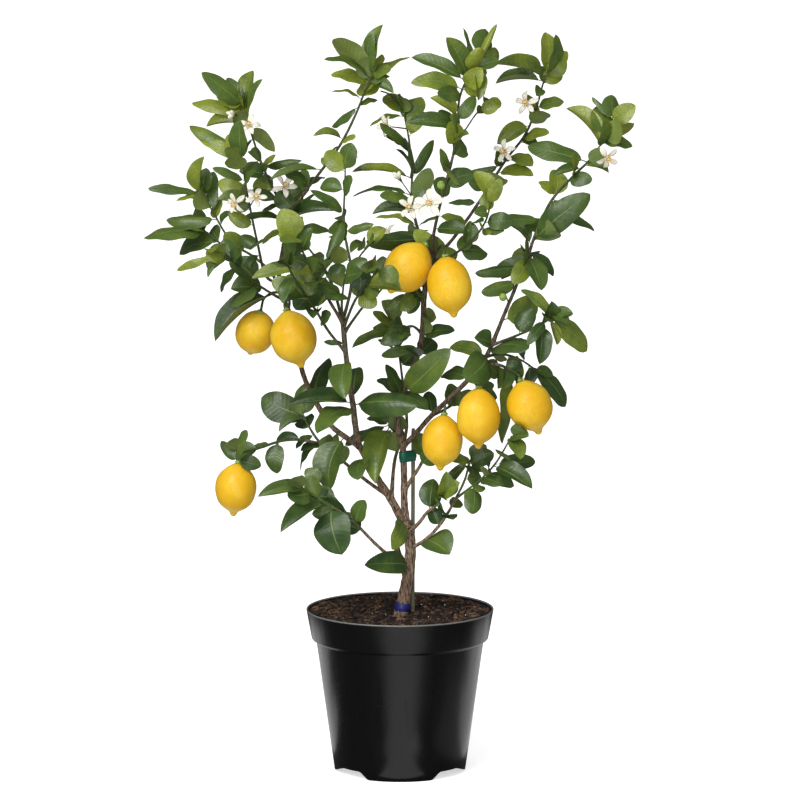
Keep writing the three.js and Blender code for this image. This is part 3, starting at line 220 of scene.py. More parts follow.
# Leaves that stand out: share of the stem below the leaf, its tip and its width.
LEAVES = {
    "bole": [(0.55, -51, -35, 308, 26)],
    "left_stem": [(0.1, -12, -27, 331, 22), (0.75, -60, -40, 428, 26)],
    "inner_left": [(1, -79, 3, 470, 20), (0.97, -35, -19, 421, 32)],
    "low_right": [(0.55, 48, -7, 425, 26), (0.85, 66, -65, 445, 22)],
    "centre_limb": [(0.24, -21, -27, 595, 23), (0.27, 72, -43, 618, 35), (0.26, 40, -35, 528, 23),
        (0.55, 78, -30, 641, 23), (0.5, -27, 11, 600, 14), (0.42, 6, -17, 619, 14)],
    "centre_sprout": [(1, -20, -38, 672, 17), (0.5, 11, -24, 665, 13)],
    "centre_spur": [(0.45, -28, -27, 622, 19)],
    "back_stem": [(0.9, -69, 36, 608, 19)],
    "left_limb": [(0.42, -158, -61, 540, 20), (0.36, -117, -100, 504, 32), (0.4, 25, -78, 541, 32),
        (0.45, -62, 3, 584, 29), (0.75, -78, -105, 554, 29)],
    "left_low": [(0.8, -164, -151, 696, 17)],
    "left_inner": [(0.45, -147, -78, 677, 43), (0.55, -210, -61, 720, 19)],
    "left_tall": [(1, -77, 26, 891, 14), (0.85, -114, 29, 841, 20), (0.67, -128, -19, 841, 13),
        (0.55, -37, -22, 793, 13), (0.64, -104, -28, 745, 17), (0.4, -53, -9, 764, 12),
        (0.33, -31, -47, 727, 13), (0.2, -31, -73, 696, 22)],
    "left_forward": [(1, -3, -147, 725, 23)],
    "back_limb": [(0.3, -103, 84, 583, 20), (0.1, -102, -11, 408, 37)],
    "top_middle": [(1, -24, 61, 1071, 26), (1, -41, 57, 1059, 22), (0.98, -95, 35, 1053, 27),
        (0.95, -108, 23, 1024, 20), (0.9, -99, 56, 999, 20), (0.97, 16, 67, 1024, 19),
        (0.93, -9, 31, 975, 16), (0.8, -98, 31, 976, 12), (0.76, -32, 66, 962, 13),
        (0.76, -98, 72, 923, 14), (0.6, -124, 40, 913, 13), (0.56, -103, 72, 877, 14),
        (0.58, -63, 34, 913, 13), (0.44, -186, 33, 850, 13), (0.34, -165, 47, 857, 19),
        (0.15, -115, 80, 828, 13), (0.1, -142, 43, 825, 19), (0.13, -92, 33, 806, 19),
        (0.06, -101, 78, 772, 13)],
    "top_left": [(0.95, -213, 128, 999, 23), (1, -285, 89, 1000, 23), (0.94, -301, 128, 953, 20),
        (0.9, -197, 81, 991, 20), (0.97, -250, 121, 989, 16), (0.95, -230, 93, 992, 12),
        (0.92, -277, 86, 942, 13), (0.88, -280, 121, 919, 17), (0.86, -181, 126, 882, 17),
        (0.6, -141, 83, 874, 13), (0.62, -179, 74, 881, 14), (0.62, -217, 112, 883, 13),
        (0.35, -200, 76, 798, 13), (0.2, -230, 66, 788, 14), (0.14, -199, 99, 750, 12),
        (0.1, -147, 62, 757, 19)],
    "left_side_front": [(0.22, -266, 54, 615, 23), (0.68, -256, 15, 690, 14)],
    "left_side_back": [(1, -371, 111, 758, 29), (0.82, -322, 170, 730, 29),
        (0.52, -277, 89, 729, 29)],
    "left_side_back_fork": [(1, -365, 124, 829, 13), (0.97, -283, 125, 876, 27),
        (0.7, -272, 155, 849, 16), (0.88, -324, 120, 811, 14), (0.6, -340, 149, 781, 22),
        (0.5, -243, 120, 795, 17)],
    "left_side_tall": [(1, -300, 24, 929, 20), (1, -226, -21, 941, 30), (0.95, -284, 9, 910, 17),
        (0.8, -266, -20, 873, 12), (0.7, -259, 16, 850, 20), (0.62, -260, -6, 826, 17),
        (0.65, -203, -19, 872, 16), (0.5, -245, 10, 805, 17), (0.4, -229, 44, 769, 16),
        (0.35, -214, 19, 724, 13)],
    "centre_tall": [(0.86, 65, -37, 1059, 27), (0.85, 16, -12, 1029, 20), (0.8, 15, -53, 996, 24),
        (0.78, 52, -67, 984, 20), (0.66, 42, -53, 975, 17), (0.93, 110, -44, 970, 16),
        (0.64, 106, -29, 977, 17), (0.9, 114, -40, 1045, 22), (0.56, 97, -36, 925, 17),
        (0.6, 10, -66, 942, 20), (0.42, 56, -69, 906, 14), (0.18, 99, -55, 785, 22),
        (0.25, 94, -18, 794, 13)],
    "centre_left": [(1, 1, 80, 965, 20), (0.98, -44, 57, 924, 12), (0.8, -29, 40, 933, 20),
        (0.85, 34, 87, 943, 17), (0.6, 6, 17, 913, 30), (0.62, 49, 65, 902, 13),
        (0.62, -69, 43, 861, 17), (0.52, -69, 61, 823, 13), (0.5, 44, 25, 868, 22),
        (0.5, -29, 17, 829, 22), (0.4, -40, 26, 802, 17), (0.3, -36, -7, 800, 13),
        (0.25, -21, 30, 772, 17), (0.2, -48, -7, 770, 22), (0.25, 14, -40, 748, 23),
        (0.3, 54, 3, 800, 13)],
    "right_top": [(1, 209, 103, 1057, 29), (0.98, 222, 57, 1057, 20), (0.95, 241, 100, 1028, 17),
        (0.97, 135, 59, 1015, 20), (0.93, 137, 97, 983, 12), (0.52, 190, 46, 869, 26),
        (0.48, 78, 78, 848, 13), (0.88, 195, 65, 968, 14), (0.68, 139, 64, 899, 20),
        (0.34, 69, 58, 815, 13)],
    "right_front": [(0.95, 141, -97, 865, 17), (0.85, 104, -86, 815, 16),
        (0.75, 102, -58, 795, 13)],
    "right_limb": [(0.86, 92, -84, 581, 40), (0.9, 182, -68, 624, 37), (0.84, 71, -14, 616, 23),
        (0.66, 59, -7, 573, 22), (0.35, 41, -7, 550, 17), (0.8, 140, -59, 573, 20),
        (0.97, 105, -58, 635, 23)],
    "right_tall": [(0.1, 196, -14, 680, 32), (0.3, 106, -49, 726, 14), (0.25, 115, -57, 699, 17),
        (0.38, 149, 14, 792, 19), (0.4, 269, -40, 838, 32), (0.56, 241, -46, 798, 26),
        (0.5, 278, 19, 778, 14), (0.57, 199, 19, 850, 23), (0.48, 136, -34, 800, 14),
        (0.76, 182, 40, 898, 29), (0.86, 237, 46, 952, 26), (0.85, 291, 0, 938, 26),
        (1, 302, 40, 972, 26), (0.9, 335, 40, 930, 17), (0.72, 217, -2, 861, 12),
        (0.33, 160, -42, 710, 24), (0.34, 200, -54, 702, 26), (0.35, 219, -5, 717, 17),
        (0.36, 160, 2, 736, 20), (0.34, 137, -10, 729, 12)],
    "right_low_front": [(0.74, 196, -116, 605, 22), (0.92, 264, -89, 620, 28),
        (1, 241, -130, 682, 13), (0.82, 178, -127, 634, 14), (0.97, 170, -94, 708, 16),
        (0.3, 177, -50, 593, 17), (0.9, 221, -117, 631, 12)],
    "right_fruit": [(0.62, 160, -24, 554, 24), (0.55, 146, -14, 476, 17)],
    "right_low_back": [(0.93, 237, 5, 527, 29)],
    "base_right": [(1, 57, -32, 401, 12), (0.97, 120, 3, 437, 20), (0.95, 104, -43, 433, 17),
        (0.17, 71, -51, 322, 40)],
    "base_right_fork": [(0.35, 101, -81, 386, 23), (0.7, 187, -100, 425, 26),
        (0.55, 163, -35, 419, 17), (0.72, 193, -51, 455, 20), (1, 170, -116, 470, 23)],
    "base_left": [(0.98, -201, -108, 415, 19), (0.8, -169, -116, 365, 24),
        (0.75, -82, -97, 330, 49)],
    "base_left_fork": [(0.95, -138, -5, 421, 17), (0.93, -93, -35, 401, 10)],
    "base_back": [(0.62, -144, 84, 422, 13), (1, -201, 94, 528, 37), (0.95, -175, 56, 483, 13),
        (0.7, -150, 52, 459, 14)],
    "base_back_fork": [(0.15, -179, 60, 469, 13), (1, -286, -12, 477, 16),
        (0.98, -217, -31, 502, 20), (0.95, -256, -3, 479, 13), (0.93, -198, -30, 447, 20)],
}
# Narrow leaves of the scene alone, in the same form.
THIN_LEAVES = {
    "left_limb": [(0.85, -108, -48, 628, 7)],
    "left_side_front": [(1, -318, -6, 725, 10), (0.9, -273, -28, 717, 10)],
    "centre_tall": [(0.88, 89, -4, 1071, 10), (0.95, 137, -10, 1076, 9)],
    "right_tall": [(1, 274, 37, 969, 9), (0.28, 144, -11, 713, 9)],
    "base_back_fork": [(0.4, -213, 38, 464, 7)],
}

# Lemons: the stem that carries each, centre, direction of the nipple, length with the nipple
# and greatest width.
LEMONS = {
    "lemon_1": ("stalk_1", (10, -54, 733), (-0.6, 0, -0.8), 86, 65),
    "lemon_2": ("stalk_2", (70, -84, 711), (0.15, 0, -1), 89, 63),
    "lemon_3": ("stalk_3", (-209, 70, 625), (-0.25, 0.5, -1), 76, 57),
    "lemon_4": ("stalk_4", (-152, 14, 624), (0.28, -0.1, -1), 86, 66),
    "lemon_5": ("base_back_fork", (-235, -23, 412), (-0.1, 0.1, -1), 80, 59),
    "lemon_6": ("stalk_6", (60, -57, 485), (-0.08, 0, -1), 82, 58),
    "lemon_7": ("stalk_7", (111, -86, 524), (0, 0.05, -1), 89, 62),
    "lemon_8": ("right_fruit", (184, -82, 539), (0.35, 0, -1), 82, 64),
}

# The profile of a lemon: share of its length above the nipple's tip, share of its half width.
LEMON_PROFILE = (
    (0, 0), (0.004, 0.055), (0.014, 0.105), (0.03, 0.14), (0.05, 0.165), (0.075, 0.2),
    (0.1, 0.27), (0.13, 0.4), (0.165, 0.54), (0.21, 0.685), (0.26, 0.8), (0.32, 0.89),
    (0.39, 0.955), (0.46, 0.99), (0.53, 1.0), (0.6, 0.985), (0.67, 0.945), (0.735, 0.875),
    (0.795, 0.78), (0.85, 0.655), (0.895, 0.52), (0.93, 0.39), (0.955, 0.29), (0.972, 0.21),
    (0.982, 0.13), (0.985, 0),
)
LEMON_TOP = LEMON_PROFILE[-1][0]
STALK_RISE = 9
SEAT_RISE = 0.3
# Its unevenness: large and fine lumps as shares of the radius, with their fineness, and ribs
# towards its ends.
LUMPS = Group(large=0.035, large_scale=0.035, fine=0.008, fine_scale=0.11, lift=0.4,
              ribs=5, rib_height=0.035, rib_from=0.55)
# The calyx: number, depth and lift of its lobes, the radius inside which they flatten, and its
# radii and heights.
LOBES = Group(count=5, depth=0.2, lift=0.5, inside=3)
CALYX_PROFILE = ((0, -0.4), (3.2, -0.2), (4.6, 0.5), (4.8, 1.1), (3.6, 2.0), (2.5, 3.4),
                 (1.9, 5.4), (0, 5.6))

# Flowers: stem, share of the stem below the stalk, centre of the flower and span; span 0 is buds.
FLOWERS = {
    "flower_1": ("top_left", 0.8, (-216, 73, 923), 36),
    "flower_2": ("left_side_tall", 0.68, (-232, -19, 824), 32),
    "flower_3": ("left_side_tall", 0.6, (-206, -19, 829), 34),
    "flower_4": ("top_left", 0.38, (-167, 65, 836), 38),
    "flower_5": ("centre_left", 0.9, (-16, 51, 926), 34),
    "flower_6": ("centre_left", 0.42, (15, 14, 812), 36),
    "flower_7": ("centre_tall", 0.28, (44, -65, 826), 46),
    "flower_8": ("centre_left", 0.2, (-10, 5, 772), 38),
    "flower_9": ("right_top", 0.76, (182, 51, 958), 36),
    "flower_10": ("right_top", 0.56, (150, 35, 892), 34),
    "flower_11": ("right_tall", 0.84, (292, -11, 888), 36),
    "buds_1": ("top_left", 0.93, (-238, 89, 939), 0),
    "buds_2": ("right_top", 0.97, (178, 76, 1009), 0),
    "buds_3": ("centre_left", 0.52, (0, 35, 851), 0),
}
SEAT_OF_HEART = 0.3
# Petals and buds: their number in a flower or cluster, least sizes and draws, and tone.
PETAL = Group(count=5, turn_draw=0.16, shortest=0.96, length_draw=0.08, lean_draw=0.5,
              roll_draw=0.7, rise=1.4, half_width=0.235, tone=0.2)
# Stamens: lean, length and distance from the middle, of the outer ones and of each third one.
STAMEN = Group(outer=(1.22, 7.2, 1.6), inner=(1.44, 6.2, 1.1), turn_draw=0.2, lean_draw=0.14,
               length_draw=1.8, rise=1.0, anther=(2.7, 3.3, 2.7), anther_at=0.92)
BUDS = Group(count=3, lean=0.6, longest=13, shortest=0.86, length_draw=0.16, rise=1.6, tone=0.45)
# The heart of an open flower, with its pistil, and of a cluster of buds: radius and height.
HEART_PROFILE = ((0, 0), (2.3, 0.2), (2.3, 1.2), (1.5, 2.6), (0.7, 3.8), (0.6, 8.4), (1.2, 9.0),
                 (1.1, 9.9), (0, 10.2))
CLUSTER_PROFILE = ((0, 0), (2.3, 0.2), (3.2, 2.4), (2.2, 4.4), (0, 4.8))
# Green fruitlets: stem, share of the stem below them, centre and radius.
FRUITLETS = (
    ("centre_tall", 0.36, (58, -66, 853), 6.5),
    ("right_tall", 0.17, (146, -48, 692), 6),
)

# Rows of a leaf from stalk to tip: share of its length, half its width and its thickness.
LEAF_ROWS = (
    (0.0, 0.05, 0.022), (0.06, 0.045, 0.02), (0.1, 0.07, 0.014), (0.14, 0.42, 0.01),
    (0.2, 0.69, 0.009), (0.29, 0.9, 0.008), (0.41, 1.0, 0.008), (0.55, 1.0, 0.007),
    (0.68, 0.92, 0.007), (0.79, 0.77, 0.006), (0.88, 0.56, 0.006), (0.95, 0.31, 0.005),
    (1.0, 0.0, 0.004),
)
LEAF_COLUMNS = (-1, -0.52, 0, 0.52, 1)
# Kinds of leaf: fold along the rib, curl of the halves, wave of the edge, twist, arch, bend, phase
# and bluntness of the tip.
LEAF_KINDS = (
    (0.38, 0.1, 0.016, 0.1, 0.09, 0.02, 0.3, 0.5), (0.15, 0.3, 0.022, -0.25, 0.1, -0.03, 1.7, 1.0),
    (0.55, 0.0, 0.014, 0.3, 0.12, 0.04, 2.9, 0.0), (0.05, 0.5, 0.028, 0.15, 0.08, -0.04, 4.1, 0.8),
    (0.3, 0.25, 0.034, -0.4, 0.14, 0.03, 5.2, 0.2), (0.7, -0.1, 0.012, 0.0, 0.1, 0.0, 0.9, 0.0),
    (0.2, 0.2, 0.02, 0.5, 0.06, -0.05, 2.2, 1.0), (0.42, 0.35, 0.03, -0.15, 0.13, 0.05, 3.6, 0.6),
)
HALF_SHARE = BLADE.width_ratio / 2
# The tone of a leaf, from 0, old, to 1, young, and how much wider than the frame's leaf it is,
# because fold and twist make it look narrower: least and draw.
TONE = Group(least=0.11, by_height=0.26, spread=0.56, spread_by_height=0.3, power=2.2,
             by_share=0.18, crown_foot=560, crown_rise=420)
WIDER = (1.1, 0.22)
# A petal: share of its length and half its width; then how far each kind bends back, and its wave.
PETAL_ROWS = ((0.06, 0.34), (0.22, 0.64), (0.42, 0.9), (0.62, 1.0), (0.8, 0.88), (0.93, 0.56),
              (1.0, 0.18))
PETAL_COLUMNS = (-1, -0.5, 0, 0.5, 1)
PETAL_KINDS = ((0.42, 0.03), (0.66, 0.04), (0.24, -0.03))
# Places of the other shapes after the kinds of petal.
FILAMENT, BUD = 3, 4

# ---- The camera and the lights, in metres ----
EYE = (0, -7.0, 1.5402)
EYE_DIP = 8.15
FLOOR_HALF = 40
# Lamps: kind, place, power, width or angle, height and the height of what they point at.
LAMPS = {
    "sky": ("SUN", (-1.2, -2.4, 4), 1.05, 0.6, None, 0.5),
    "key": ("AREA", (-1.6, -2.6, 2.4), None, 1.6, 1.6, 0.5),
    "strip": ("AREA", (0.15, -3.4, 1.3), 20, 0.35, 1.6, 0.5),
    "low_front": ("AREA", (-0.3, -2.6, 0.3), 9, 1.2, 0.5, 0.48),
}
# Cards on the floor round the pot, for the sheen up its front and the bright edges of its sides:
# place, brightness, width, length and turn in degrees.
CARDS = {
    "card_foot": (0.004, -0.128, 0.75, 0.08, 0.062, 0),
    "card_near": (0.01, -0.21, 0.75, 0.14, 0.1, 0),
    "card_next": (0.02, -0.31, 0.75, 0.23, 0.1, 0),
    "card_middle": (0.035, -0.5, 0.75, 0.4, 0.28, -5),
    "card_far": (0.07, -0.95, 0.9, 0.86, 0.62, -5),
    "card_near_side": (0.05, -0.24, 0.3, 0.05, 0.16, 8),
    "card_far_side": (0.15, -0.49, 0.3, 0.12, 0.34, 12),
    "card_left": (-0.23, 0.385, 1.0, 0.2, 0.67, 0),
    "card_left_far": (-0.48, 0.45, 1.0, 0.3, 0.54, 0),
    "card_right": (0.255, 0.36, 0.9, 0.25, 0.7, 0),
    "card_right_far": (0.535, 0.415, 0.9, 0.31, 0.59, 0),
    "card_right_front": (0.25, -0.07, 0.22, 0.24, 0.16, 0),
}
CARD_HEIGHT = 0.004


# ---- Settings ----
def colour(code):
    """A hex colour as linear red, green and blue."""
    channels = [int(code[i:i + 2], 16) / 255 for i in (1, 3, 5)]
    return tuple(c / 12.92 if c <= 0.04045 else ((c + 0.055) / 1.055) ** 2.4 for c in channels)


def paint(name, description, code):
    return FloatVectorProperty(
        name=name, description=description, subtype="COLOR", min=0, max=1, default=colour(code))


def size(name, description, default, least=0):
    return FloatProperty(name=name, description=description, unit="LENGTH", precision=5,
                         min=least * MM, default=default * MM)


def whole(name, description, default, least):
    return IntProperty(name=name, description=description, default=default, min=least)


def amount(name, description, default, **limits):
    return FloatProperty(name=name, description=description, default=default, min=0, **limits)


class PotSettings(bpy.types.PropertyGroup):
    sides: whole("Sides", "Facets round the pot", 192, 32)
    lip: size("Lip", "Radius of the rolled edge of the rim", 1.6)
    colour: paint("Colour", "Colour of the pot's plastic", "#070708")
    # Painted highlight: this lip colour paints the pale line that light makes along the rim's
    # rolled edge.
    lip_highlight_colour: paint("Lip colour", "Colour of the worn edge of the rim", "#8b8b88")
    roughness: amount("Roughness", "How matt the plastic is", 0.29, max=1)


class SoilSettings(bpy.types.PropertyGroup):
    chip_density: amount("Chip density", "Bark chips on each square metre", 42000)
    chip_length: size("Chip length", "Length of the longest bark chip", 14)
    grit_density: amount("Grit density", "White grains on each square metre", 800)
    grit_size: size("Grit size", "Width of the largest white grain", 3)
    seed: whole("Seed", "Changes where the chips lie", 7, 0)
    dark: paint("Dark", "Colour of the damp soil and the darkest chips", "#17100b")
    light: paint("Light", "Colour of the lighter chips", "#835737")
    dry: paint("Dry", "Colour of the few driest chips", "#8a7761")


class StemSettings(bpy.types.PropertyGroup):
    sides: whole("Sides", "Facets round a stem", 12, 5)
    step: size("Step", "Length of one ring of a stem", 5)
    lumps: amount("Lumps", "Height of a stem's lumps as a share of its radius", 0.24, max=1)
    bark: paint("Bark", "Colour of the old bark", "#a5886e")
    shoot: paint("Shoot", "Colour of the young green stems", "#5c7035")


class LeafSettings(bpy.types.PropertyGroup):
    young: paint("Young", "Colour of the youngest leaves", "#85912c")
    middle: paint("Middle", "Colour of most leaves", "#51672a")
    old: paint("Old", "Colour of the oldest leaves", "#2a421f")
    under: paint("Underside", "Colour under the leaves", "#5f7345")
    rib: paint("Rib", "Colour of the midrib and veins", "#82964f")
    spacing: size("Spacing", "Length of stem for each small leaf that is added", 30, 10)


class LemonSettings(bpy.types.PropertyGroup):
    sides: whole("Sides", "Facets round a lemon", 64, 12)
    rind: paint("Rind", "Colour of the ripe rind", "#e0ad12")
    pale: paint("Pale rind", "Colour of the rind's pale patches", "#e8c02f")
    green: paint("Unripe", "Colour of the fruitlets and of the calyx", "#6f8f3a")
    pore_depth: size("Pore depth", "Depth of the rind's pores", 0.45)


class BlossomSettings(bpy.types.PropertyGroup):
    petal: paint("Petal", "Colour of the petals", "#e6e1d0")
    anther: paint("Anther", "Colour of the anthers", "#f1d68e")
    stamens: whole("Stamens", "Stamens in one flower", 21, 3)


class TieSettings(bpy.types.PropertyGroup):
    stake: paint("Stake", "Colour of the stake", "#86816f")
    tape: paint("Tape", "Colour of the tape that ties the stem", "#025c48")
    band: paint("Band", "Colour of the band round the trunk's foot", "#161c68")


class StageSettings(bpy.types.PropertyGroup):
    floor: paint("Floor", "Colour of the floor and backdrop", "#f4f4f4")
    glow: amount("Glow", "Light that the white floor gives off by itself", 0.6)
    fill: amount("Fill", "Strength of the light from all sides", 0.5)
    lens: amount("Lens", "Focal length of the camera", 222.4, unit="CAMERA")
    key_power: amount("Key light", "Power of the large soft light", 56, unit="POWER")


SETTINGS = {
    "lemon_pot": PotSettings, "lemon_soil": SoilSettings, "lemon_stems": StemSettings,
    "lemon_leaves": LeafSettings, "lemon_fruit": LemonSettings,
    "lemon_blossom": BlossomSettings, "lemon_ties": TieSettings, "lemon_stage": StageSettings,
}


# ---- Node trees ----
class Out:
    """An output of a node, which adds, subtracts and multiplies as a number does."""

    def __init__(self, made, place):
        self.tree, self.socket = made.id_data, made.outputs[place]

    def __add__(self, other):
        return calc("ADD", self, other)

    def __sub__(self, other):
        return calc("SUBTRACT", self, other)

    def __rsub__(self, other):
        return calc("SUBTRACT", other, self)

    def __mul__(self, other):
        return calc("MULTIPLY", self, other)


def node(tree, kind, inputs=(), **settings):
    """Adds a node; inputs go by place or name, and are values or outputs to join."""
    made = tree.nodes.new(kind)
    for key, value in settings.items():
        setattr(made, key, value)
    for key, value in (inputs.items() if isinstance(inputs, dict) else enumerate(inputs)):
        if isinstance(value, Out):
            tree.links.new(value.socket, made.inputs[key])
        else:
            made.inputs[key].default_value = value
    return made


def add(tree, kind, inputs=(), out=0, **settings):
    """Adds a node for one of its outputs."""
    return Out(node(tree, kind, inputs, **settings), out)


def calc(operation, *inputs):
    tree = next(value.tree for value in inputs if isinstance(value, Out))
    return add(tree, "ShaderNodeMath", inputs, operation=operation)


def ramp(value, low, high, first=0.0, last=1.0):
    """A smooth change from first to last as value goes from low to high."""
    return add(value.tree, "ShaderNodeMapRange", (value, low, high, first, last),
               interpolation_type="SMOOTHSTEP")


def mix(share, *pair):
    """A mix of two colours, each a hex colour, a setting or an output."""
    first, second = (tint if isinstance(tint, Out)
                     else (*(colour(tint) if isinstance(tint, str) else tint), 1) for tint in pair)
    return add(share.tree, "ShaderNodeMix", {0: share, 6: first, 7: second}, 2, data_type="RGBA")


def grain(place, scale, detail=3, roughness=0.55):
    return add(place.tree, "ShaderNodeTexNoise",
               {"Vector": place, "Scale": scale, "Detail": detail, "Roughness": roughness})


def fibres(place, scales, detail, roughness=0.55):
    """Noise that is finer along one axis than along another."""
    drawn = add(place.tree, "ShaderNodeMapping", {"Vector": place, "Scale": scales})
    return grain(drawn, 1, detail, roughness)


def cells(place, scale, randomness=1):
    return add(place.tree, "ShaderNodeTexVoronoi",
               {"Vector": place, "Scale": scale, "Randomness": randomness})


def attribute(place, name):
    return add(place.tree, "ShaderNodeAttribute", out="Fac", attribute_name=name)


def height_of(place):
    return add(place.tree, "ShaderNodeSeparateXYZ", (place,), 2)


def material(name):
    """A new material, and the position of each point in metres."""
    made = bpy.data.materials.new(name)
    made.use_nodes = True
    made.node_tree.nodes.clear()
    return made, add(made.node_tree, "ShaderNodeTexCoord", out="Object")


def finished(made, base, roughness, bump, depth, **extra):
    """The material with its tree ended in a shader."""
    tree = made.node_tree
    raised = add(tree, "ShaderNodeBump", {"Height": bump, "Distance": depth, "Strength": 1})
    shader = add(tree, "ShaderNodeBsdfPrincipled", {
        "Base Color": base, "Roughness": roughness, "Normal": raised, **extra})
    node(tree, "ShaderNodeOutputMaterial", (shader,))
    return made


# ---- Finishes ----
def pot_plastic(settings):
    made, place = material("pot_plastic")
    swirl = fibres(place, (75, 75, 5), 3)
    scuffs = ramp(fibres(place, (60, 60, 200), 5), 0.62, 0.8)
    base = mix(scuffs * 0.1, settings.colour, "#2c2c2f")
    rough = scuffs * 0.06 + settings.roughness + ramp(swirl, 0.3, 0.7, -0.03, 0.03)
    # Painted highlight: the top of the rolled rim is painted pale, standing in for the light it
    # reflects.
    lip = ramp(height_of(place), (POT.height - 2.4) * MM, (POT.height - 1) * MM, 0, 0.6)
    base = mix(lip, base, settings.lip_highlight_colour)
    return finished(made, base, rough, grain(place, 900, 2), 0.00006)


def soil_finish(settings, name, tones=None):
    """Damp soil or bark; tones names an attribute from 0, dark, to 1, dry."""
    made, place = material(name)
    rough = grain(place, 420, 5, 0.7)
    tone = attribute(place, tones) if tones else grain(place, 90)
    streak = fibres(place, (700, 260, 500), 4)
    share = ramp(tone, 0.3, 1.05) * ramp(streak, 0.2, 0.8, 0.5, 1.3)
    base = mix(share, settings.dark, settings.light)
    base = mix(ramp(tone, 0.8, 1, 0, 0.7), base, settings.dry)
    base = mix(ramp(grain(place, 26, 2), 0.42, 0.62, 0, 0.6), base, "#120d08")
    base = mix(ramp(rough, 0.35, 0.6, 0.75, 0), base, "#120b07")
    return finished(made, base, 0.85, rough, 0.0012)


def grit_finish():
    made, place = material("grit")
    spots = grain(place, 1500)
    return finished(made, mix(spots, "#f4f0e6", "#c9c2b2"), 0.9, spots, 0.0004)


def bark_finish(settings):
    """Fissured bark that darkens up the tree; age goes from 0, a green shoot, to 1, old bark."""
    made, place = material("bark")
    age = attribute(place, "age")
    streaks = fibres(place, (420, 420, 60), 6, 0.65)
    patches = grain(place, 55)
    fissures = ramp(fibres(place, (700, 700, 95), 3), 0.36, 0.5)
    old = mix(ramp(streaks, 0.3, 0.72), "#625040", settings.bark)
    old = mix(ramp(patches, 0.5, 0.72, 0, 0.7), old, "#a79a84")
    old = mix(1 - fissures, old, "#2f241b")
    green = mix(ramp(streaks, 0.3, 0.7), "#3e5226", settings.shoot)
    green = mix(ramp(cells(place, 330), 0.16, 0.08, 0, 0.5), green, "#a8a878")
    aged = ramp(age + ramp(patches, 0.3, 0.7, -0.2, 0.2), 0.35, 0.7)
    base = mix(aged, green, old)
    base = mix(ramp(height_of(place), 0.36, 0.58, 0, 0.58), base, "#2a2b19")
    bump = (streaks + fissures) * ramp(age, 0, 1, 0.25, 1)
    return finished(made, base, ramp(aged, 0, 1, 0.5, 0.85), bump, 0.0011)


def leaf_finish(settings):
    """Veined leaves; the map runs along the leaf and across it, and past 1.5 on the underside."""
    made, place = material("leaf")
    flat = node(made.node_tree, "ShaderNodeSeparateXYZ",
                (add(made.node_tree, "ShaderNodeUVMap", uv_map="leaf_uv"),))
    along, across = Out(flat, 0), Out(flat, 1)
    below = calc("GREATER_THAN", across, 1.5)
    aside = calc("ABSOLUTE", (across - below * 2) * 2 - 1)

    rib = ramp(calc("DIVIDE", aside, ramp(along, 0, 1, 0.085, 0.03)), 0.35, 1, 1, 0)
    wave = calc("PINGPONG", along * 11 - calc("POWER", aside, 1.35) * 1.7, 0.5)
    veins = ramp(wave, 0, 0.12, 1, 0) * ramp(aside, 0.55, 0.95, 1, 0)

    tone = attribute(place, "tone") + ramp(grain(place, 45, 2), 0.25, 0.75, -0.12, 0.12)
    mottle = grain(place, 260)
    upper = mix(ramp(tone, 0, 0.5), settings.old, settings.middle)
    upper = mix(ramp(tone, 0.45, 1), upper, settings.young)
    upper = mix(ramp(mottle, 0.3, 0.75, 0, 0.3), upper, settings.old)
    upper = mix(veins * 0.04, upper, settings.rib)
    upper = mix(rib * 0.45, upper, settings.rib)
    lower = mix(ramp(tone, 0, 1, 0.1, 0.5), settings.under, settings.young)
    lower = mix(calc("MAXIMUM", rib, veins) * 0.45, lower, settings.rib)

    bump = ramp(wave, 0, 0.5) * 0.35 - rib * 0.9 + mottle * 0.25
    rough = ramp(mottle, 0.3, 0.7, 0.3, 0.42) + below * 0.2
    return finished(made, mix(below, upper, lower), rough, bump, 0.0003)


def rind_finish(settings):
    made, place = material("lemon_rind")
    dimples = ramp(cells(place, 620, 0.9), 0, 0.42)
    base = mix(ramp(grain(place, 26, 2), 0.35, 0.7), settings.rind, settings.pale)
    base = mix(ramp(dimples, 0.5, 0, 0, 0.35), base, "#ca9612")
    base = mix(ramp(attribute(place, "ripeness"), 0, 1) * 0.55, base, "#c9a428")
    return finished(
        made, base, 0.42, dimples + grain(place, 120, 2) * 1.2, settings.pore_depth,
        **{"Subsurface Weight": 0.08, "Subsurface Radius": (0.006, 0.003, 0.0008),
           "Specular IOR Level": 0.36, "Coat Weight": 0.05, "Coat Roughness": 0.25})


def green_finish(settings):
    made, place = material("young_green")
    spots = cells(place, 900)
    base = mix(ramp(grain(place, 200), 0.3, 0.7), settings.green, "#93a850")
    base = mix(ramp(spots, 0.2, 0, 0, 0.5), base, "#40591f")
    return finished(made, base, 0.5, spots, 0.0003)


def petal_finish(settings):
    made, place = material("petal")
    fine = grain(place, 900, 2)
    base = mix(ramp(fine, 0.3, 0.7, 0, 0.3), settings.petal, "#eeebde")
    base = mix(ramp(attribute(place, "tone"), 0.5, 1, 0, 0.75), base, "#cfd89a")
    return finished(made, base, 0.5, fine, 0.0001, **{
        "Subsurface Weight": 0.15, "Subsurface Radius": (0.002, 0.002, 0.0015)})


def anther_finish(settings):
    made, place = material("anther")
    dust = grain(place, 2500, 2)
    return finished(made, mix(dust, settings.anther, "#e0bd70"), 0.8, dust, 0.0002)


def stake_finish(settings):
    made, place = material("stake_wood")
    streaks = fibres(place, (900, 900, 40), 5)
    base = mix(ramp(streaks, 0.3, 0.7), "#5b5747", settings.stake)
    return finished(made, base, 0.75, streaks, 0.0006)


def tape_finish(name, tint):
    made, place = material(name)
    base = mix(ramp(grain(place, 300, 4), 0.4, 0.8, 0, 0.25), tint, "#4c5655")
    return finished(made, base, 0.45, fibres(place, (160, 160, 900), 3), 0.0005)


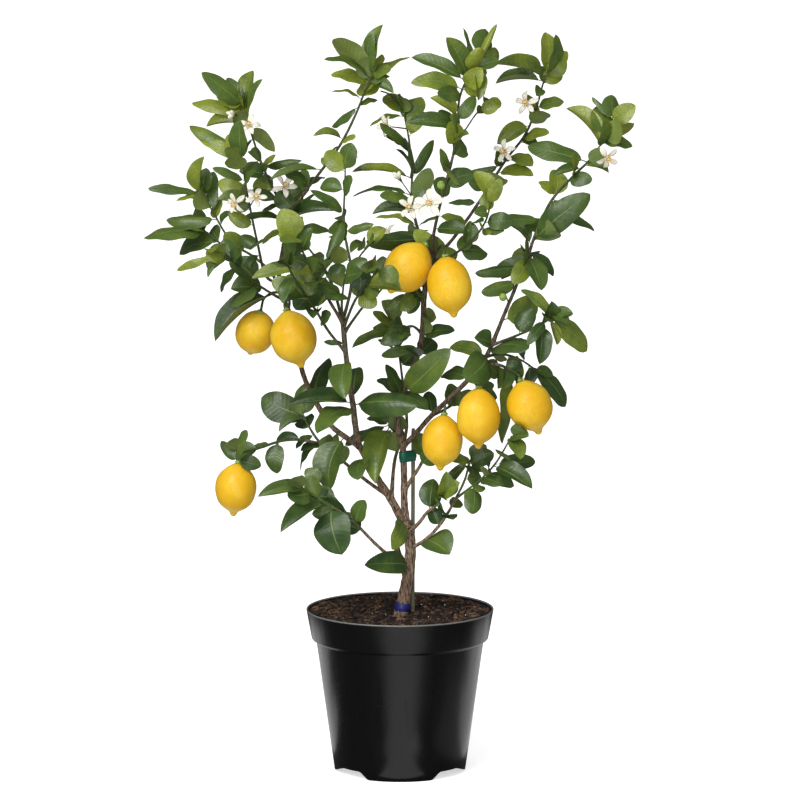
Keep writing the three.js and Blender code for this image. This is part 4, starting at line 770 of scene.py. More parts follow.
def floor_finish(settings):
    made, place = material("floor_paper")
    fine = grain(place, 60, 2)
    base = mix(ramp(fine, 0.3, 0.7, 0, 0.05), settings.floor, "#e9e9e9")
    return finished(made, base, 0.85, fine, 0.0001, **{
        "Emission Color": (1, 1, 1, 1), "Emission Strength": settings.glow})


# ---- Meshes and pieces ----
def smooth(mesh, on=True):
    mesh.polygons.foreach_set("use_smooth", [on] * len(mesh.polygons))


def mesh_of(name, points, faces=(), edges=(), unit=MM):
    """A smooth mesh from points in millimetres, or in another unit."""
    mesh = bpy.data.meshes.new(name)
    mesh.from_pydata([Vector(point) * unit for point in points], edges, faces)
    mesh.validate()
    smooth(mesh)
    return mesh


def give(mesh, label, values, kind="FLOAT"):
    """Gives each point of a mesh a value, or a vector, of its own."""
    field = "value"
    if kind == "FLOAT_VECTOR":
        field, values = "vector", [number for vector in values for number in vector]
    mesh.attributes.new(label, kind, "POINT").data.foreach_set(field, values)


def object_of(mesh, finish=None):
    made = bpy.data.objects.new(mesh.name, mesh)
    bpy.context.scene.collection.objects.link(made)
    if finish:
        mesh.materials.append(finish)
    return made


def piece(made, slot, *nodes):
    """Rides an object on the tree, in place of nodes of the frame; slot is not used."""
    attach(made, BODY)
    if nodes:
        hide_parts(*nodes)


def joined(name, objects):
    """One object from several."""
    with bpy.context.temp_override(
            active_object=objects[0], selected_editable_objects=objects, object=objects[0]):
        bpy.ops.object.join()
    objects[0].name = objects[0].data.name = name
    return objects[0]


def grown(source, tree, name, **values):
    """The plain mesh that a geometry tree makes of an object, in a new object in its place."""
    modifier = source.modifiers.new(tree.name, "NODES")
    modifier.node_group = tree
    for item in tree.interface.items_tree:
        if item.in_out == "INPUT" and item.name in values:
            modifier[item.identifier] = values[item.name]
    depsgraph = bpy.context.evaluated_depsgraph_get()
    mesh = bpy.data.meshes.new_from_object(
        source.evaluated_get(depsgraph), preserve_all_data_layers=True, depsgraph=depsgraph)
    mesh.name = name
    if not mesh.polygons:
        raise RuntimeError(f"{name} came out empty")
    old = source.data
    bpy.data.objects.remove(source)
    bpy.data.meshes.remove(old)
    return object_of(mesh)


def turned_to(axis):
    return Vector((0, 0, 1)).rotation_difference(axis)


def lathe(profile, sides, wobble=None):
    """A closed body of revolution round Z; profile runs from axis to axis as (radius, height)."""
    points, rings = [], []
    for radius, height in profile:
        first = len(points)
        if radius < 1e-6:
            rings.append([first] * sides)
            points.append((0, 0, height))
            continue
        rings.append(range(first, first + sides))
        for i in range(sides):
            angle = 2 * pi * i / sides
            spot = (radius * cos(angle), radius * sin(angle), height)
            points.append(wobble(spot, angle) if wobble else spot)
    faces = [list(dict.fromkeys((lower[i - 1], lower[i], upper[i], upper[i - 1])))
             for lower, upper in zip(rings, rings[1:]) for i in (*range(1, sides), 0)]
    return points, faces


def turned_body(name, profile, sides, finish, seat, turn=Quaternion(), wobble=None):
    """A body of revolution, turned and set in its place."""
    points, faces = lathe(profile, sides, wobble)
    placed = [turn @ Vector(point) + seat for point in points]
    return object_of(mesh_of(name, placed, faces), finish)


def rounded(profile, steps=3):
    """Softens each corner (radius, height, bend) of a profile by an arc of about that radius."""
    softened = []
    for i, (x, z, bend) in enumerate(profile):
        if not bend:
            softened.append((x, z))
            continue
        here = Vector((x, z))
        before, after = (Vector(profile[j][:2]) - here for j in (i - 1, i + 1))
        start = here + before.normalized() * min(bend, before.length * 0.45)
        end = here + after.normalized() * min(bend, after.length * 0.45)
        for t in (k / steps for k in range(steps + 1)):
            softened.append(tuple(start * (1 - t) ** 2 + here * 2 * t * (1 - t) + end * t * t))
    return softened


# ---- Stems ----
class Lemon:
    """A lemon: its axis runs from nipple to stalk."""

    def __init__(self, stem, centre, nipple, length, width):
        self.stem, self.length, self.width = stem, length, width
        self.centre = Vector(centre)
        self.axis = -Vector(nipple).normalized()
        self.top = self.centre + self.axis * (LEMON_TOP - 0.5) * length


class Stem:
    """A stem, on a line through waypoints; its shares count waypoints."""

    def __init__(self, number, label, first, last, rule, *points):
        self.node, self.name = label.split("/")[0], label.split("/")[-1]
        self.number, self.first, self.last, self.rule = number, first, last, rule
        self.points = [Vector(point) for point in points]
        for lemon in FRUIT.values():
            if lemon.stem == self.name:
                self.points += [lemon.top + lemon.axis * rise for rise in (STALK_RISE, SEAT_RISE)]
        self.stretches = len(self.points) - 1
        self.length = sum((b - a).length for a, b in zip(self.points, self.points[1:]))

    def spot(self, share):
        place = min(max(share, 0.0), 1.0) * self.stretches
        index = min(int(place), self.stretches - 1)
        return index, place - index

    def straight(self, share):
        index, rest = self.spot(share)
        return self.points[index].lerp(self.points[index + 1], rest)

    def direction(self, share):
        index = self.spot(share)[0]
        return (self.points[index + 1] - self.points[index]).normalized()

    def smooth(self, share):
        """A point of the smooth curve through the waypoints."""
        index, t = self.spot(share)
        a, b, c, d = (self.points[min(max(index + i, 0), self.stretches)] for i in (-1, 0, 1, 2))
        return 0.5 * (2 * b + (c - a) * t + (2 * a - 5 * b + 4 * c - d) * t * t
                      + (3 * b - a - 3 * c + d) * t ** 3)


FRUIT = {name: Lemon(*row) for name, row in LEMONS.items()}
STEMS = {stem.name: stem for stem in
         (Stem(number, *row) for number, row in enumerate(STEM_ROWS, 1))}


def flower_seat(name, at, base):
    """The seat of a flower and the direction from its stem to it."""
    base = Vector(base)
    return base, (base - STEMS[name].straight(at)).normalized()


class Strands:
    """Lines with a radius and an age at each point, that a tree turns into stems."""

    def __init__(self):
        self.points, self.edges, self.radii, self.ages = [], [], [], []

    def add(self, points, radii, ages):
        first = len(self.points)
        self.points += points
        self.radii += [radius * MM for radius in radii]
        self.ages += ages
        self.edges += [(i, i + 1) for i in range(first, first + len(points) - 1)]

    def grown(self, tree, name, finish, **values):
        mesh = mesh_of("lines", self.points, edges=self.edges)
        give(mesh, "thickness", self.radii)
        give(mesh, "age", self.ages)
        stems = grown(object_of(mesh), tree, name, Finish=finish, **values)
        smooth(stems.data)
        return stems


class Points:
    """Points with a turn, a size, a shape and a tone each, for the scatter tree."""

    def __init__(self):
        self.rows = []

    def add(self, spot, axes, scale, shape, tone):
        """Axes are the shape's own X, Y and Z."""
        turn = Matrix(axes).transposed().to_euler()
        self.rows.append((spot, turn, Vector(scale) * MM, shape, tone))

    def grown(self, tree, name, shapes, finish):
        spots, *values = zip(*self.rows)
        mesh = mesh_of("points", spots)
        for label, kind, row in zip(("turn", "size", "shape", "tone"),
                                    ("FLOAT_VECTOR", "FLOAT_VECTOR", "INT", "FLOAT"), values):
            give(mesh, label, row, kind)
        return grown(object_of(mesh), tree, name, Shapes=shapes, Growth=1.0, Finish=finish)


# ---- Geometry trees ----
def growth_tree(name, **sockets):
    """A tree with named inputs, and a function that gives each of them."""
    tree = bpy.data.node_groups.new(name, "GeometryNodeTree")
    for label, kind in (("Geometry", "Geometry"), *sockets.items(), ("Finish", "Material")):
        tree.interface.new_socket(label, in_out="INPUT", socket_type=f"NodeSocket{kind}")
    tree.interface.new_socket("Geometry", in_out="OUTPUT", socket_type="NodeSocketGeometry")
    source = node(tree, "NodeGroupInput")
    return tree, lambda label: Out(source, label)


def ended(made, given):
    """Ends a tree in plain geometry with its finish."""
    made = add(made.tree, "GeometryNodeRealizeInstances", (made,))
    made = add(made.tree, "GeometryNodeSetMaterial",
               {"Geometry": made, "Material": given("Finish")})
    node(made.tree, "NodeGroupOutput", (made,))
    return made.tree


def carried(tree, label, kind="FLOAT"):
    """A value that each point carries."""
    return add(tree, "GeometryNodeInputNamedAttribute", {"Name": label}, data_type=kind)


def scaled(vector, share):
    return add(vector.tree, "ShaderNodeVectorMath", {0: vector, "Scale": share}, operation="SCALE")


def set_out(points, given, **inputs):
    """One of the given shapes at each point."""
    shapes = add(points.tree, "GeometryNodeCollectionInfo", {
        "Collection": given("Shapes"), "Separate Children": True, "Reset Children": True})
    return add(points.tree, "GeometryNodeInstanceOnPoints", {
        "Points": points, "Instance": shapes, "Pick Instance": True, **inputs})


def turn_of(angles):
    return add(angles.tree, "FunctionNodeEulerToRotation", (angles,))


def stem_tree():
    """Turns lines into lumpy round stems."""
    tree, given = growth_tree("round_stems", Sides="Int", Step="Float", Lumps="Float",
                              Seed="Float")
    line = add(tree, "GeometryNodeMeshToCurve", (given("Geometry"),))
    line = add(tree, "GeometryNodeResampleCurve",
               {"Curve": line, "Length": given("Step")}, mode="LENGTH")
    thick = carried(tree, "thickness")
    ring = add(tree, "GeometryNodeCurvePrimitiveCircle",
               {"Resolution": given("Sides"), "Radius": 1})
    body = add(tree, "GeometryNodeCurveToMesh",
               {"Curve": line, "Profile Curve": ring, "Scale": thick, "Fill Caps": True})
    wave = add(tree, "ShaderNodeTexNoise", {"W": given("Seed"), "Scale": 110, "Detail": 2},
               noise_dimensions="4D")
    lift = (wave - 0.5) * given("Lumps") * thick * 2
    offset = scaled(add(tree, "GeometryNodeInputNormal"), lift)
    body = add(tree, "GeometryNodeSetPosition", {"Geometry": body, "Offset": offset})
    return ended(body, given)


def scatter_tree():
    """Puts a shape at each point, turned, sized and toned by the point's own values."""
    tree, given = growth_tree("set_out_shapes", Shapes="Collection", Growth="Float")
    return ended(set_out(given("Geometry"), given, **{
        "Instance Index": carried(tree, "shape", "INT"),
        "Rotation": turn_of(carried(tree, "turn", "FLOAT_VECTOR")),
        "Scale": scaled(carried(tree, "size", "FLOAT_VECTOR"), given("Growth"))}), given)


def litter_tree():
    """Strews shapes over a surface."""
    tree, given = growth_tree("strewn_litter", Shapes="Collection", Density="Float",
                              Longest="Float", Shortest="Float", Tilt="Float", Seed="Int")
    spots = add(tree, "GeometryNodeDistributePointsOnFaces", {
        "Mesh": given("Geometry"), "Density": given("Density"), "Seed": given("Seed")})

    def chance(low, high, step):
        """A draw between two limits; step tells one draw from another."""
        return add(tree, "FunctionNodeRandomValue",
                   {2: low, 3: high, "Seed": given("Seed") + step}, 1, data_type="FLOAT")

    tilt = given("Tilt")
    angles = add(tree, "ShaderNodeCombineXYZ",
                 (chance(tilt * -1, tilt, 1), chance(tilt * -1, tilt, 2), chance(0, 2 * pi, 3)))
    placed = set_out(spots, given, Rotation=turn_of(angles),
                     Scale=chance(given("Shortest"), 1, 9) * given("Longest"))
    placed = add(tree, "GeometryNodeStoreNamedAttribute", {
        "Geometry": placed, "Name": "tone", "Value": chance(0, 1, 17)},
        data_type="FLOAT", domain="INSTANCE")
    return ended(placed, given)


def shape_collection(name, meshes):
    """A collection of shapes for a tree to pick from; drop_shapes clears it away."""
    made = bpy.data.collections.new(name)
    bpy.context.scene.collection.children.link(made)
    for mesh in meshes:
        made.objects.link(bpy.data.objects.new(mesh.name, mesh))
    return made


def drop_shapes(collection):
    for made in list(collection.objects):
        mesh = made.data
        bpy.data.objects.remove(made)
        bpy.data.meshes.remove(mesh)
    bpy.data.collections.remove(collection)


# ---- Leaves ----
def draws(seed):
    """Repeatable draws between 0 and 1."""
    state = seed * 2654435761 & 0xFFFFFFFF

    def draw():
        nonlocal state
        state = (state * 1664525 + 1013904223) & 0xFFFFFFFF
        return state / 4294967296
    return draw


def leaf_by_rule(stem, k, attempt):
    """One try at leaf number k of a stem: its share of the stem, root, tip, width and roll."""
    count, start, length = stem.rule
    draw = draws(stem.number * 10000 + k * 100 + attempt)
    place = min(1, (k % count + SPRAY.place_draw * draw()) / (count - 0.5))
    share = start + (1 - start) * place
    along = stem.direction(share)
    right = along.cross(Vector((1, 0, 0) if abs(along.z) > 0.8 else (0, 0, 1))).normalized()
    ahead = right.cross(along)
    turn = (k * GOLDEN_ANGLE + stem.number + (draw() - 0.5) * SPRAY.turn_draw
            + attempt * SPRAY.turn_per_try)
    lean = SPRAY.lean_at_foot - SPRAY.lean_loss * share + (draw() - 0.5) * SPRAY.lean_draw
    length *= SPRAY.shortest + SPRAY.length_draw * draw()
    direction = (along * cos(lean) + right * sin(lean) * cos(turn)
                 + ahead * sin(lean) * sin(turn))
    direction.z -= BLADE.droop
    root = stem.straight(share)
    return Group(
        stem=stem, share=share, root=root, tip=root + direction.normalized() * length,
        width=length * BLADE.width_ratio, roll=(draw() - 0.5) * SPRAY.roll_draw)


def leaf_by_hand(stem, row, attempt):
    """One try at a leaf that stands out: its tip moves nearer and farther."""
    share, x, y, z, width = row
    steps = ceil(attempt / 2) * (1 if attempt % 2 else -1)
    return Group(
        stem=stem, share=share, root=stem.straight(share), width=width,
        tip=Vector((x, y + BLADE.hand_shift * steps, z)), roll=BLADE.hand_roll * steps)


def leaf_axes(leaf):
    """Across, along and out of the upper face of a leaf."""
    along = (leaf.tip - leaf.root).normalized()
    outward = Vector((leaf.root.x, leaf.root.y, 0)).normalized()
    above = outward * BLADE.face_outward
    above = (above + Vector((0, -BLADE.face_forward, BLADE.face_up))).normalized()
    if abs(above.dot(along)) > BLADE.face_limit:
        above = Vector((outward.x, outward.y, 1)).normalized()
    side = along.cross(above).normalized()
    side.rotate(Quaternion(along, leaf.roll))
    return side, along, side.cross(along)


def corners_of(name):
    """The corners of a node of the frame, in millimetres, to search among."""
    corners = frame["nodes"][name].data.vertices
    tree = kdtree.KDTree(len(corners))
    for i, corner in enumerate(corners):
        tree.insert(corner.co / MM, i)
    tree.balance()
    return tree


def stands(leaf, corners):
    """Whether the frame holds this leaf: both corners of its tip are there."""
    face = leaf_axes(leaf)[2] * BLADE.thickness / 2
    return all(corners.find(leaf.tip + face * way)[2] < BLADE.found_within for way in (-1, 1))


def frame_leaves():
    """Every leaf that the frame holds."""
    corners = {name: corners_of(name) for name in {stem.node for stem in STEMS.values()}}
    found = []
    for stem in STEMS.values():
        rows = [(leaf_by_hand, row) for row in LEAVES.get(stem.name, ())]
        rows += [(leaf_by_rule, k) for k in range(stem.rule[0] if stem.rule else 0)]
        for make, row in rows:
            tries = (make(stem, row, attempt) for attempt in range(BLADE.attempts))
            found += [leaf for leaf in tries if stands(leaf, corners[stem.node])][:1]
    return found


def extra_leaves(found, spacing):
    """Small leaves that fill the sprays out, each clear of the lemons and of other leaves."""
    middles = [(leaf.root + leaf.tip) / 2 for leaf in found]
    more = []

    def clear(leaf, middle):
        reach = EXTRA.reach * (leaf.tip - leaf.root).length
        return not (any((middle - other).length < reach for other in middles)
                    or any((spot - lemon.centre).length < lemon.length / 2 + EXTRA.off_lemons
                           for spot in (middle, leaf.tip) for lemon in FRUIT.values()))

    for stem in STEMS.values():
        count = stem.rule[0] if stem.rule else 0
        for k in range(count, count + round(stem.length / spacing) if count else 0):
            for attempt in range(BLADE.attempts):
                leaf = leaf_by_rule(stem, k, attempt)
                leaf.tip = leaf.root.lerp(leaf.tip, EXTRA.length)
                middle = (leaf.root + leaf.tip) / 2
                if clear(leaf, middle):
                    middles.append(middle)
                    more.append(leaf)
                    break
    return more


def leaf_rows(blunt):
    """The rows of a leaf with one more between each two, rounder towards a blunt tip."""
    rows = []
    for i, (row, after) in enumerate(zip(LEAF_ROWS, LEAF_ROWS[1:])):
        share, half, thick = row
        before = LEAF_ROWS[max(i - 1, 0)][1]
        beyond = LEAF_ROWS[i + 2][1] if i + 2 < len(LEAF_ROWS) else -half
        between = (9 * (half + after[1]) - before - beyond) / 16
        rows += [row, ((share + after[0]) / 2, between, (thick + after[2]) / 2)]
    return [(share, half ** (1 - 0.12 * blunt * share) if share > 0.5 else half, thick)
            for share, half, thick in (*rows, LEAF_ROWS[-1])]


def blade(name, columns, rows, place):
    """A thin closed mesh, the edges of its margins and its map along and across.

    For a row and a column, place gives the upper and lower point, a single point where they
    meet, or nothing where the whole row is one point.
    """
    points, tops, bottoms = [], [], []
    for row in rows:
        top, bottom = [], []
        for v in columns:
            pair = place(*row, v)
            top.append(len(points) if pair else top[0])
            points += pair
            bottom.append(len(points) - 1)
        tops.append(top)
        bottoms.append(bottom)
    faces, uvs = [], []
    for below, rings in ((0, tops), (2, bottoms)):
        for i in range(len(rows) - 1):
            for j in range(len(columns) - 1):
                corners = [(rings[k][m], (rows[k][0], below + (columns[m] + 1) / 2))
                           for k, m in ((i, j), (i, j + 1), (i + 1, j + 1), (i + 1, j))]
                if corners[2][0] == corners[3][0]:
                    corners.pop()
                if below:
                    corners[1:] = corners[:0:-1]
                faces.append([corner for corner, _ in corners])
                uvs += [uv for _, uv in corners]
    faces.append(tops[0][::-1] + bottoms[0][1:-1])
    uvs += [(0, 0.5)] * len(faces[-1])
    if len(set(tops[-1])) > 1:
        faces.append(tops[-1] + bottoms[-1][-2:0:-1])
    margins = {frozenset((row[j], after[j]))
               for row, after in zip(tops, tops[1:]) for j in (0, -1)}
    return mesh_of(name, points, faces, unit=1), margins, uvs


def leaf_shape(name, fold, curl, wave, twist, arch, bend, phase, blunt):
    """A leaf one long and two wide, Y from stalk to tip and Z out of its upper face."""
    def place(share, half, thick, v):
        if not half and v > -1:
            return []
        middle = Vector((bend * 4 * share * (1 - share) / HALF_SHARE, share,
                         4 * arch * share * (1 - share)))
        spin = twist * (share - 0.35) * min(1, share * 3)
        aside = v * half * HALF_SHARE
        rise = fold * abs(aside) - curl * v * v * half * HALF_SHARE
        ripple = sin(2 * pi * 2.3 * share + (phase + (2.1 if v > 0 else 0)))
        rise += 0.75 * wave * ripple * v * v * min(1, half * 1.3)
        spot = middle + Vector(((aside * cos(spin) - rise * sin(spin)) / HALF_SHARE, 0,
                                aside * sin(spin) + rise * cos(spin)))
        if abs(v) == 1 or not half:
            return [spot]
        groove, ridge = (0.0035, 0.009) if v == 0 and half > 0.2 else (0, 0)
        return [spot + Vector((0, 0, 0.5 * thick - groove)),
                spot - Vector((0, 0, 0.5 * thick + ridge))]

    mesh, margins, uvs = blade(name, LEAF_COLUMNS, leaf_rows(blunt), place)
    layer = mesh.uv_layers.new(name="leaf_uv")
    layer.data.foreach_set("uv", [number for uv in uvs for number in uv])
    for edge in mesh.edges:
        edge.use_edge_sharp = frozenset(edge.vertices) in margins
    return mesh


# ---- Small shapes ----
def petal_shape(name, recurve, wave):
    """A thick strap-shaped petal, one long and two wide, that rises and then bends back."""
    def place(share, half, v):
        lift = 0.52 * share - recurve * share ** 3
        spot = Vector((v * half, share,
                       lift + 0.09 * v * v * half + wave * sin(5 * share + 2 * v)))
        thick = Vector((0, 0, 0.022 * (1 - abs(v))))
        return [spot + thick, spot - thick] if abs(v) < 1 else [spot]

    return blade(name, PETAL_COLUMNS, PETAL_ROWS, place)[0]


def spindle_shape(name, sides, *profile):
    """A small round body along Y, one long, with its radii by share of its length."""
    points, faces = lathe([(radius, share) for share, radius in profile], sides)
    return mesh_of(name, [(x, z, -y) for x, y, z in points], faces, unit=1)


def chip_shape(name, seed):
    """A split flake of bark, one long."""
    draw = draws(seed)
    rings, points = [], [(-0.5, 0, 0)]
    for x, width in ((-0.36, 0.2), (-0.05, 0.27), (0.3, 0.19)):
        rings.append(len(points))
        for y, z in ((-1, -0.5), (1, -0.5), (1, 0.5), (-1, 0.5)):
            points.append((x + 0.1 * (draw() - 0.5), y * width * (0.7 + 0.6 * draw()),
                           z * 0.2 * (0.6 + 0.8 * draw()) + 0.06 * (draw() - 0.5)))
    points.append((0.5, 0.06, 0.02))
    first, last = rings[0], rings[-1]
    turns = [(i, (i + 1) % 4) for i in range(4)]
    faces = [(0, first + j, first + i) for i, j in turns]
    faces += [(low + i, low + j, high + j, high + i)
              for low, high in zip(rings, rings[1:]) for i, j in turns]
    faces += [(last + i, last + j, len(points) - 1) for i, j in turns]
    mesh = mesh_of(name, points, faces, unit=1)
    smooth(mesh, False)
    return mesh


# ---- Operators ----
class StageOperator(bpy.types.Operator):
    """Adds the floor, the lights and the camera"""
    bl_idname = "lemon_tree.stage"
    bl_label = "Stage"

    def execute(self, context):
        settings = context.scene.lemon_stage
        corners = [(x * FLOOR_HALF, y * FLOOR_HALF, 0)
                   for x, y in ((-1, -1), (1, -1), (1, 1), (-1, 1))]
        floor = object_of(mesh_of("floor", corners, [range(4)], unit=1), floor_finish(settings))
        floor.visible_glossy = floor.visible_diffuse = False

        world = bpy.data.worlds.new("studio")
        world.use_nodes = True
        background = world.node_tree.nodes["Background"].inputs
        background[0].default_value = (1, 1, 1, 1)
        # White behind the tree, a soft light on it and dark walls in its reflections.
        path = node(world.node_tree, "ShaderNodeLightPath")
        light = ramp(Out(path, "Is Glossy Ray"), 0, 1, settings.fill, 0.07)
        seen = calc("MAXIMUM", light, Out(path, "Is Camera Ray"))
        world.node_tree.links.new(seen.socket, background[1])
        context.scene.world = world
        context.scene.view_settings.view_transform = "Standard"

        def held(name, data, place):
            holder = bpy.data.objects.new(name, data)
            holder.location = place
            context.scene.collection.objects.link(holder)
            return holder

        def lamp(name, kind, place, power, width, height, target, turn=0):
            light = bpy.data.lights.new(name, kind)
            light.energy = power
            if kind == "AREA":
                light.shape, light.size, light.size_y = "RECTANGLE", width, height
            else:
                light.angle = width
            holder = held(name, light, place)
            ahead = Vector(target) - Vector(place)
            holder.rotation_euler = ahead.to_track_quat("-Z", "Y").to_euler()
            holder.rotation_euler.rotate_axis("Z", radians(turn))
            holder.visible_camera = False

        for name, (kind, place, power, width, height, aim) in LAMPS.items():
            lamp(name, kind, place, power or settings.key_power, width, height, (0, 0, aim))
        for name, (x, y, glow, width, length, turn) in CARDS.items():
            lamp(name, "AREA", (x, y, CARD_HEIGHT), pi * width * length * glow, width, length,
                 (x, y, 1), turn)

        camera = bpy.data.cameras.new("camera")
        camera.lens = settings.lens
        camera.sensor_width = 36
        camera.sensor_fit = "HORIZONTAL"
        camera.clip_end = 200
        eye = held("camera", camera, EYE)
        eye.rotation_euler = (radians(90 - EYE_DIP), 0, 0)
        context.scene.camera = eye
        return {"FINISHED"}


class PotOperator(bpy.types.Operator):
    """Adds the nursery pot with its rim band and notched foot"""
    bl_idname = "lemon_tree.pot"
    bl_label = "Pot"

    def execute(self, context):
        settings = context.scene.lemon_pot
        p = POT
        lip = settings.lip / MM
        slope = (p.rim_radius - p.band_radius) / (p.height - p.band_bottom)
        inner = p.band_radius - p.rim_wall
        base, foot = p.base_radius, p.base_radius - p.lip_width
        wall_slope = (p.shoulder_radius - base) / (p.band_bottom - 3)
        profile = rounded([
            (0, 0, 0), (p.hub_radius, 0, 1.5), (p.hub_radius + 6, p.floor_under, 2),
            (foot, p.floor_under, 0.6), (foot + 0.5, 0, 0.6), (base, 0, 1.2),
            (base + wall_slope * 13.5, 13.5, 0), (base + wall_slope * 17, 17, 0),
            (p.shoulder_radius, p.band_bottom - 3, 1.2), (p.band_radius, p.band_bottom, 1.8),
            (p.rim_radius, p.height, lip), (p.rim_radius - p.rim_wall, p.height, lip),
            (inner + slope, p.band_bottom + 1, 1),
            (p.shoulder_radius - p.wall, p.band_bottom - 2, 1),
            (base - p.wall + 1, p.floor_top, 2), (p.hub_radius + 4, p.floor_top, 1),
            (p.hub_radius - 2, p.hub_dip, 1), (0, p.hub_dip, 0),
        ])

        def notched(spot, angle):
            x, y, z = spot
            radius = hypot(x, y)
            if radius < foot - 1 or z >= p.notch_height:
                return spot
            turn = abs(90 - degrees(angle) % 180)
            share = min(1, max(0, (turn - p.notch_from) / p.notch_rise))
            share = share * share * (3 - 2 * share)
            share = min(share, max(0, (p.notch_to - turn) / p.notch_fall))
            lifted = z + (p.notch_height - z) * 0.97 * share
            grow = 1 + wall_slope * (lifted - z) / radius if radius > foot + 1 else 1
            return x * grow, y * grow, lifted

        mesh = mesh_of("nursery_pot", *lathe(profile, settings.sides, notched))
        piece(object_of(mesh, pot_plastic(settings)), "pot", "pot")
        return {"FINISHED"}


class SoilOperator(bpy.types.Operator):
    """Adds the soil with its bark chips and white grit"""
    bl_idname = "lemon_tree.soil"
    bl_label = "Soil"

    def execute(self, context):
        settings = context.scene.lemon_soil
        s = SOIL

        def height(x, y):
            lump = sin(0.09 * x + 0.05 * y) * cos(0.07 * y - 0.04 * x)
            fine = (noise.noise(Vector((x, y, 3)) * 0.09)
                    + 0.5 * noise.noise(Vector((x, y, 9)) * 0.23))
            radius = hypot(x, y)
            fade = min(1, max(0, (s.edge - radius) / s.fade))
            rise = s.edge_rise * max(0, radius - s.rise_from) / (s.edge - s.rise_from)
            dip = s.dip * exp(-(radius / s.dip_width) ** 2)
            relief = s.lumps[0] * lump + s.lumps[1] * fine
            return s.level - s.settled + rise - dip + relief * fade

        def rough(spot, angle):
            x, y, z = spot
            return (x, y, height(x, y)) if z > s.level - 1 else spot

        top = [(s.edge * i / s.rings, s.level) for i in range(s.rings, -1, -1)]
        ground = object_of(mesh_of("soil_body", *lathe([*s.side, *top], s.sides, rough)),
                           soil_finish(settings, "soil"))
        rings = [(s.bed_radius * i / s.bed_rings, 0) for i in range(s.bed_rings + 1)]
        points, faces = lathe(rings, s.bed_sides)
        points = [(x, y, height(x, y) + s.bed_lift) for x, y, _ in points]
        faces = [face[::-1] for face in faces]
        tree = litter_tree()

        def strewn(name, meshes, **values):
            shapes = shape_collection("litter", meshes)
            bed = object_of(mesh_of("bed", points, faces))
            made = grown(bed, tree, name, Shapes=shapes, **values)
            drop_shapes(shapes)
            return made

        litter = strewn(
            "bark_chips", [chip_shape(f"chip_{i}", 40 + i) for i in range(7)],
            Density=settings.chip_density, Longest=settings.chip_length, Shortest=0.22, Tilt=0.5,
            Seed=settings.seed, Finish=soil_finish(settings, "bark_chip", "tone"))
        grit = strewn(
            "white_grit", [spindle_shape("grain", 6, (0, 0), (0.2, 0.42), (0.7, 0.5), (1, 0))],
            Density=settings.grit_density, Longest=settings.grit_size, Shortest=0.35, Tilt=1.5,
            Seed=settings.seed + 3, Finish=grit_finish())
        bpy.data.node_groups.remove(tree)
        piece(ground, "soil", "soil")
        piece(litter, "soil")
        piece(grit, "soil")
        return {"FINISHED"}


class StemsOperator(bpy.types.Operator):
    """Adds the trunk, the limbs and every shoot"""
    bl_idname = "lemon_tree.stems"
    bl_label = "Stems"

    def execute(self, context):
        settings = context.scene.lemon_stems
        finish = bark_finish(settings)
        strands = {stem.node: Strands() for stem in STEMS.values()}
        for stem in STEMS.values():
            count = stem.stretches * STEM.parts
            points = [stem.smooth(i / count) for i in range(count + 1)]
            flare, fade = STEM.first_flare if stem.number == 1 else STEM.flare
            radii, ages, walked = [], [], 0.0
            for i, point in enumerate(points):
                if i:
                    walked += (point - points[i - 1]).length
                radius = stem.first + (stem.last - stem.first) * (i / count)
                radius *= 1 + flare * exp(-walked / fade)
                ring = max(0, cos(walked * 2 * pi / STEM.node_gap)) ** 12
                radii.append(radius + STEM.node_swell * ring)
                ages.append(min(1.0, max(0.0, (radius - STEM.green_to) / STEM.turns_old_in)))
            strands[stem.node].add(points, radii, ages)
        for name, at, base, _ in FLOWERS.values():
            base, axis = flower_seat(name, at, base)
            points = [STEMS[name].smooth(at), base - axis * 6, base - axis * 3, base]
            strands[STEMS[name].node].add(points, *zip(*FLOWER_STALK))
        for name, at, centre, radius in FRUITLETS:
            top = Vector(centre) + Vector((0, 0, radius))
            points = [STEMS[name].smooth(at), top + Vector((0, 0, 3)), top - Vector((0, 0, 0.5))]
            strands[STEMS[name].node].add(points, *zip(*FRUITLET_STALK))
        tree = stem_tree()
        for number, (name, lines) in enumerate(sorted(strands.items())):
            stems = lines.grown(tree, f"{name}_stems", finish, Sides=settings.sides,
                                Step=settings.step, Lumps=settings.lumps, Seed=float(number))
            woody = name == "trunk" or name.startswith("limb")
            piece(stems, "bark" if woody else "foliage", name)
        bpy.data.node_groups.remove(tree)
        return {"FINISHED"}


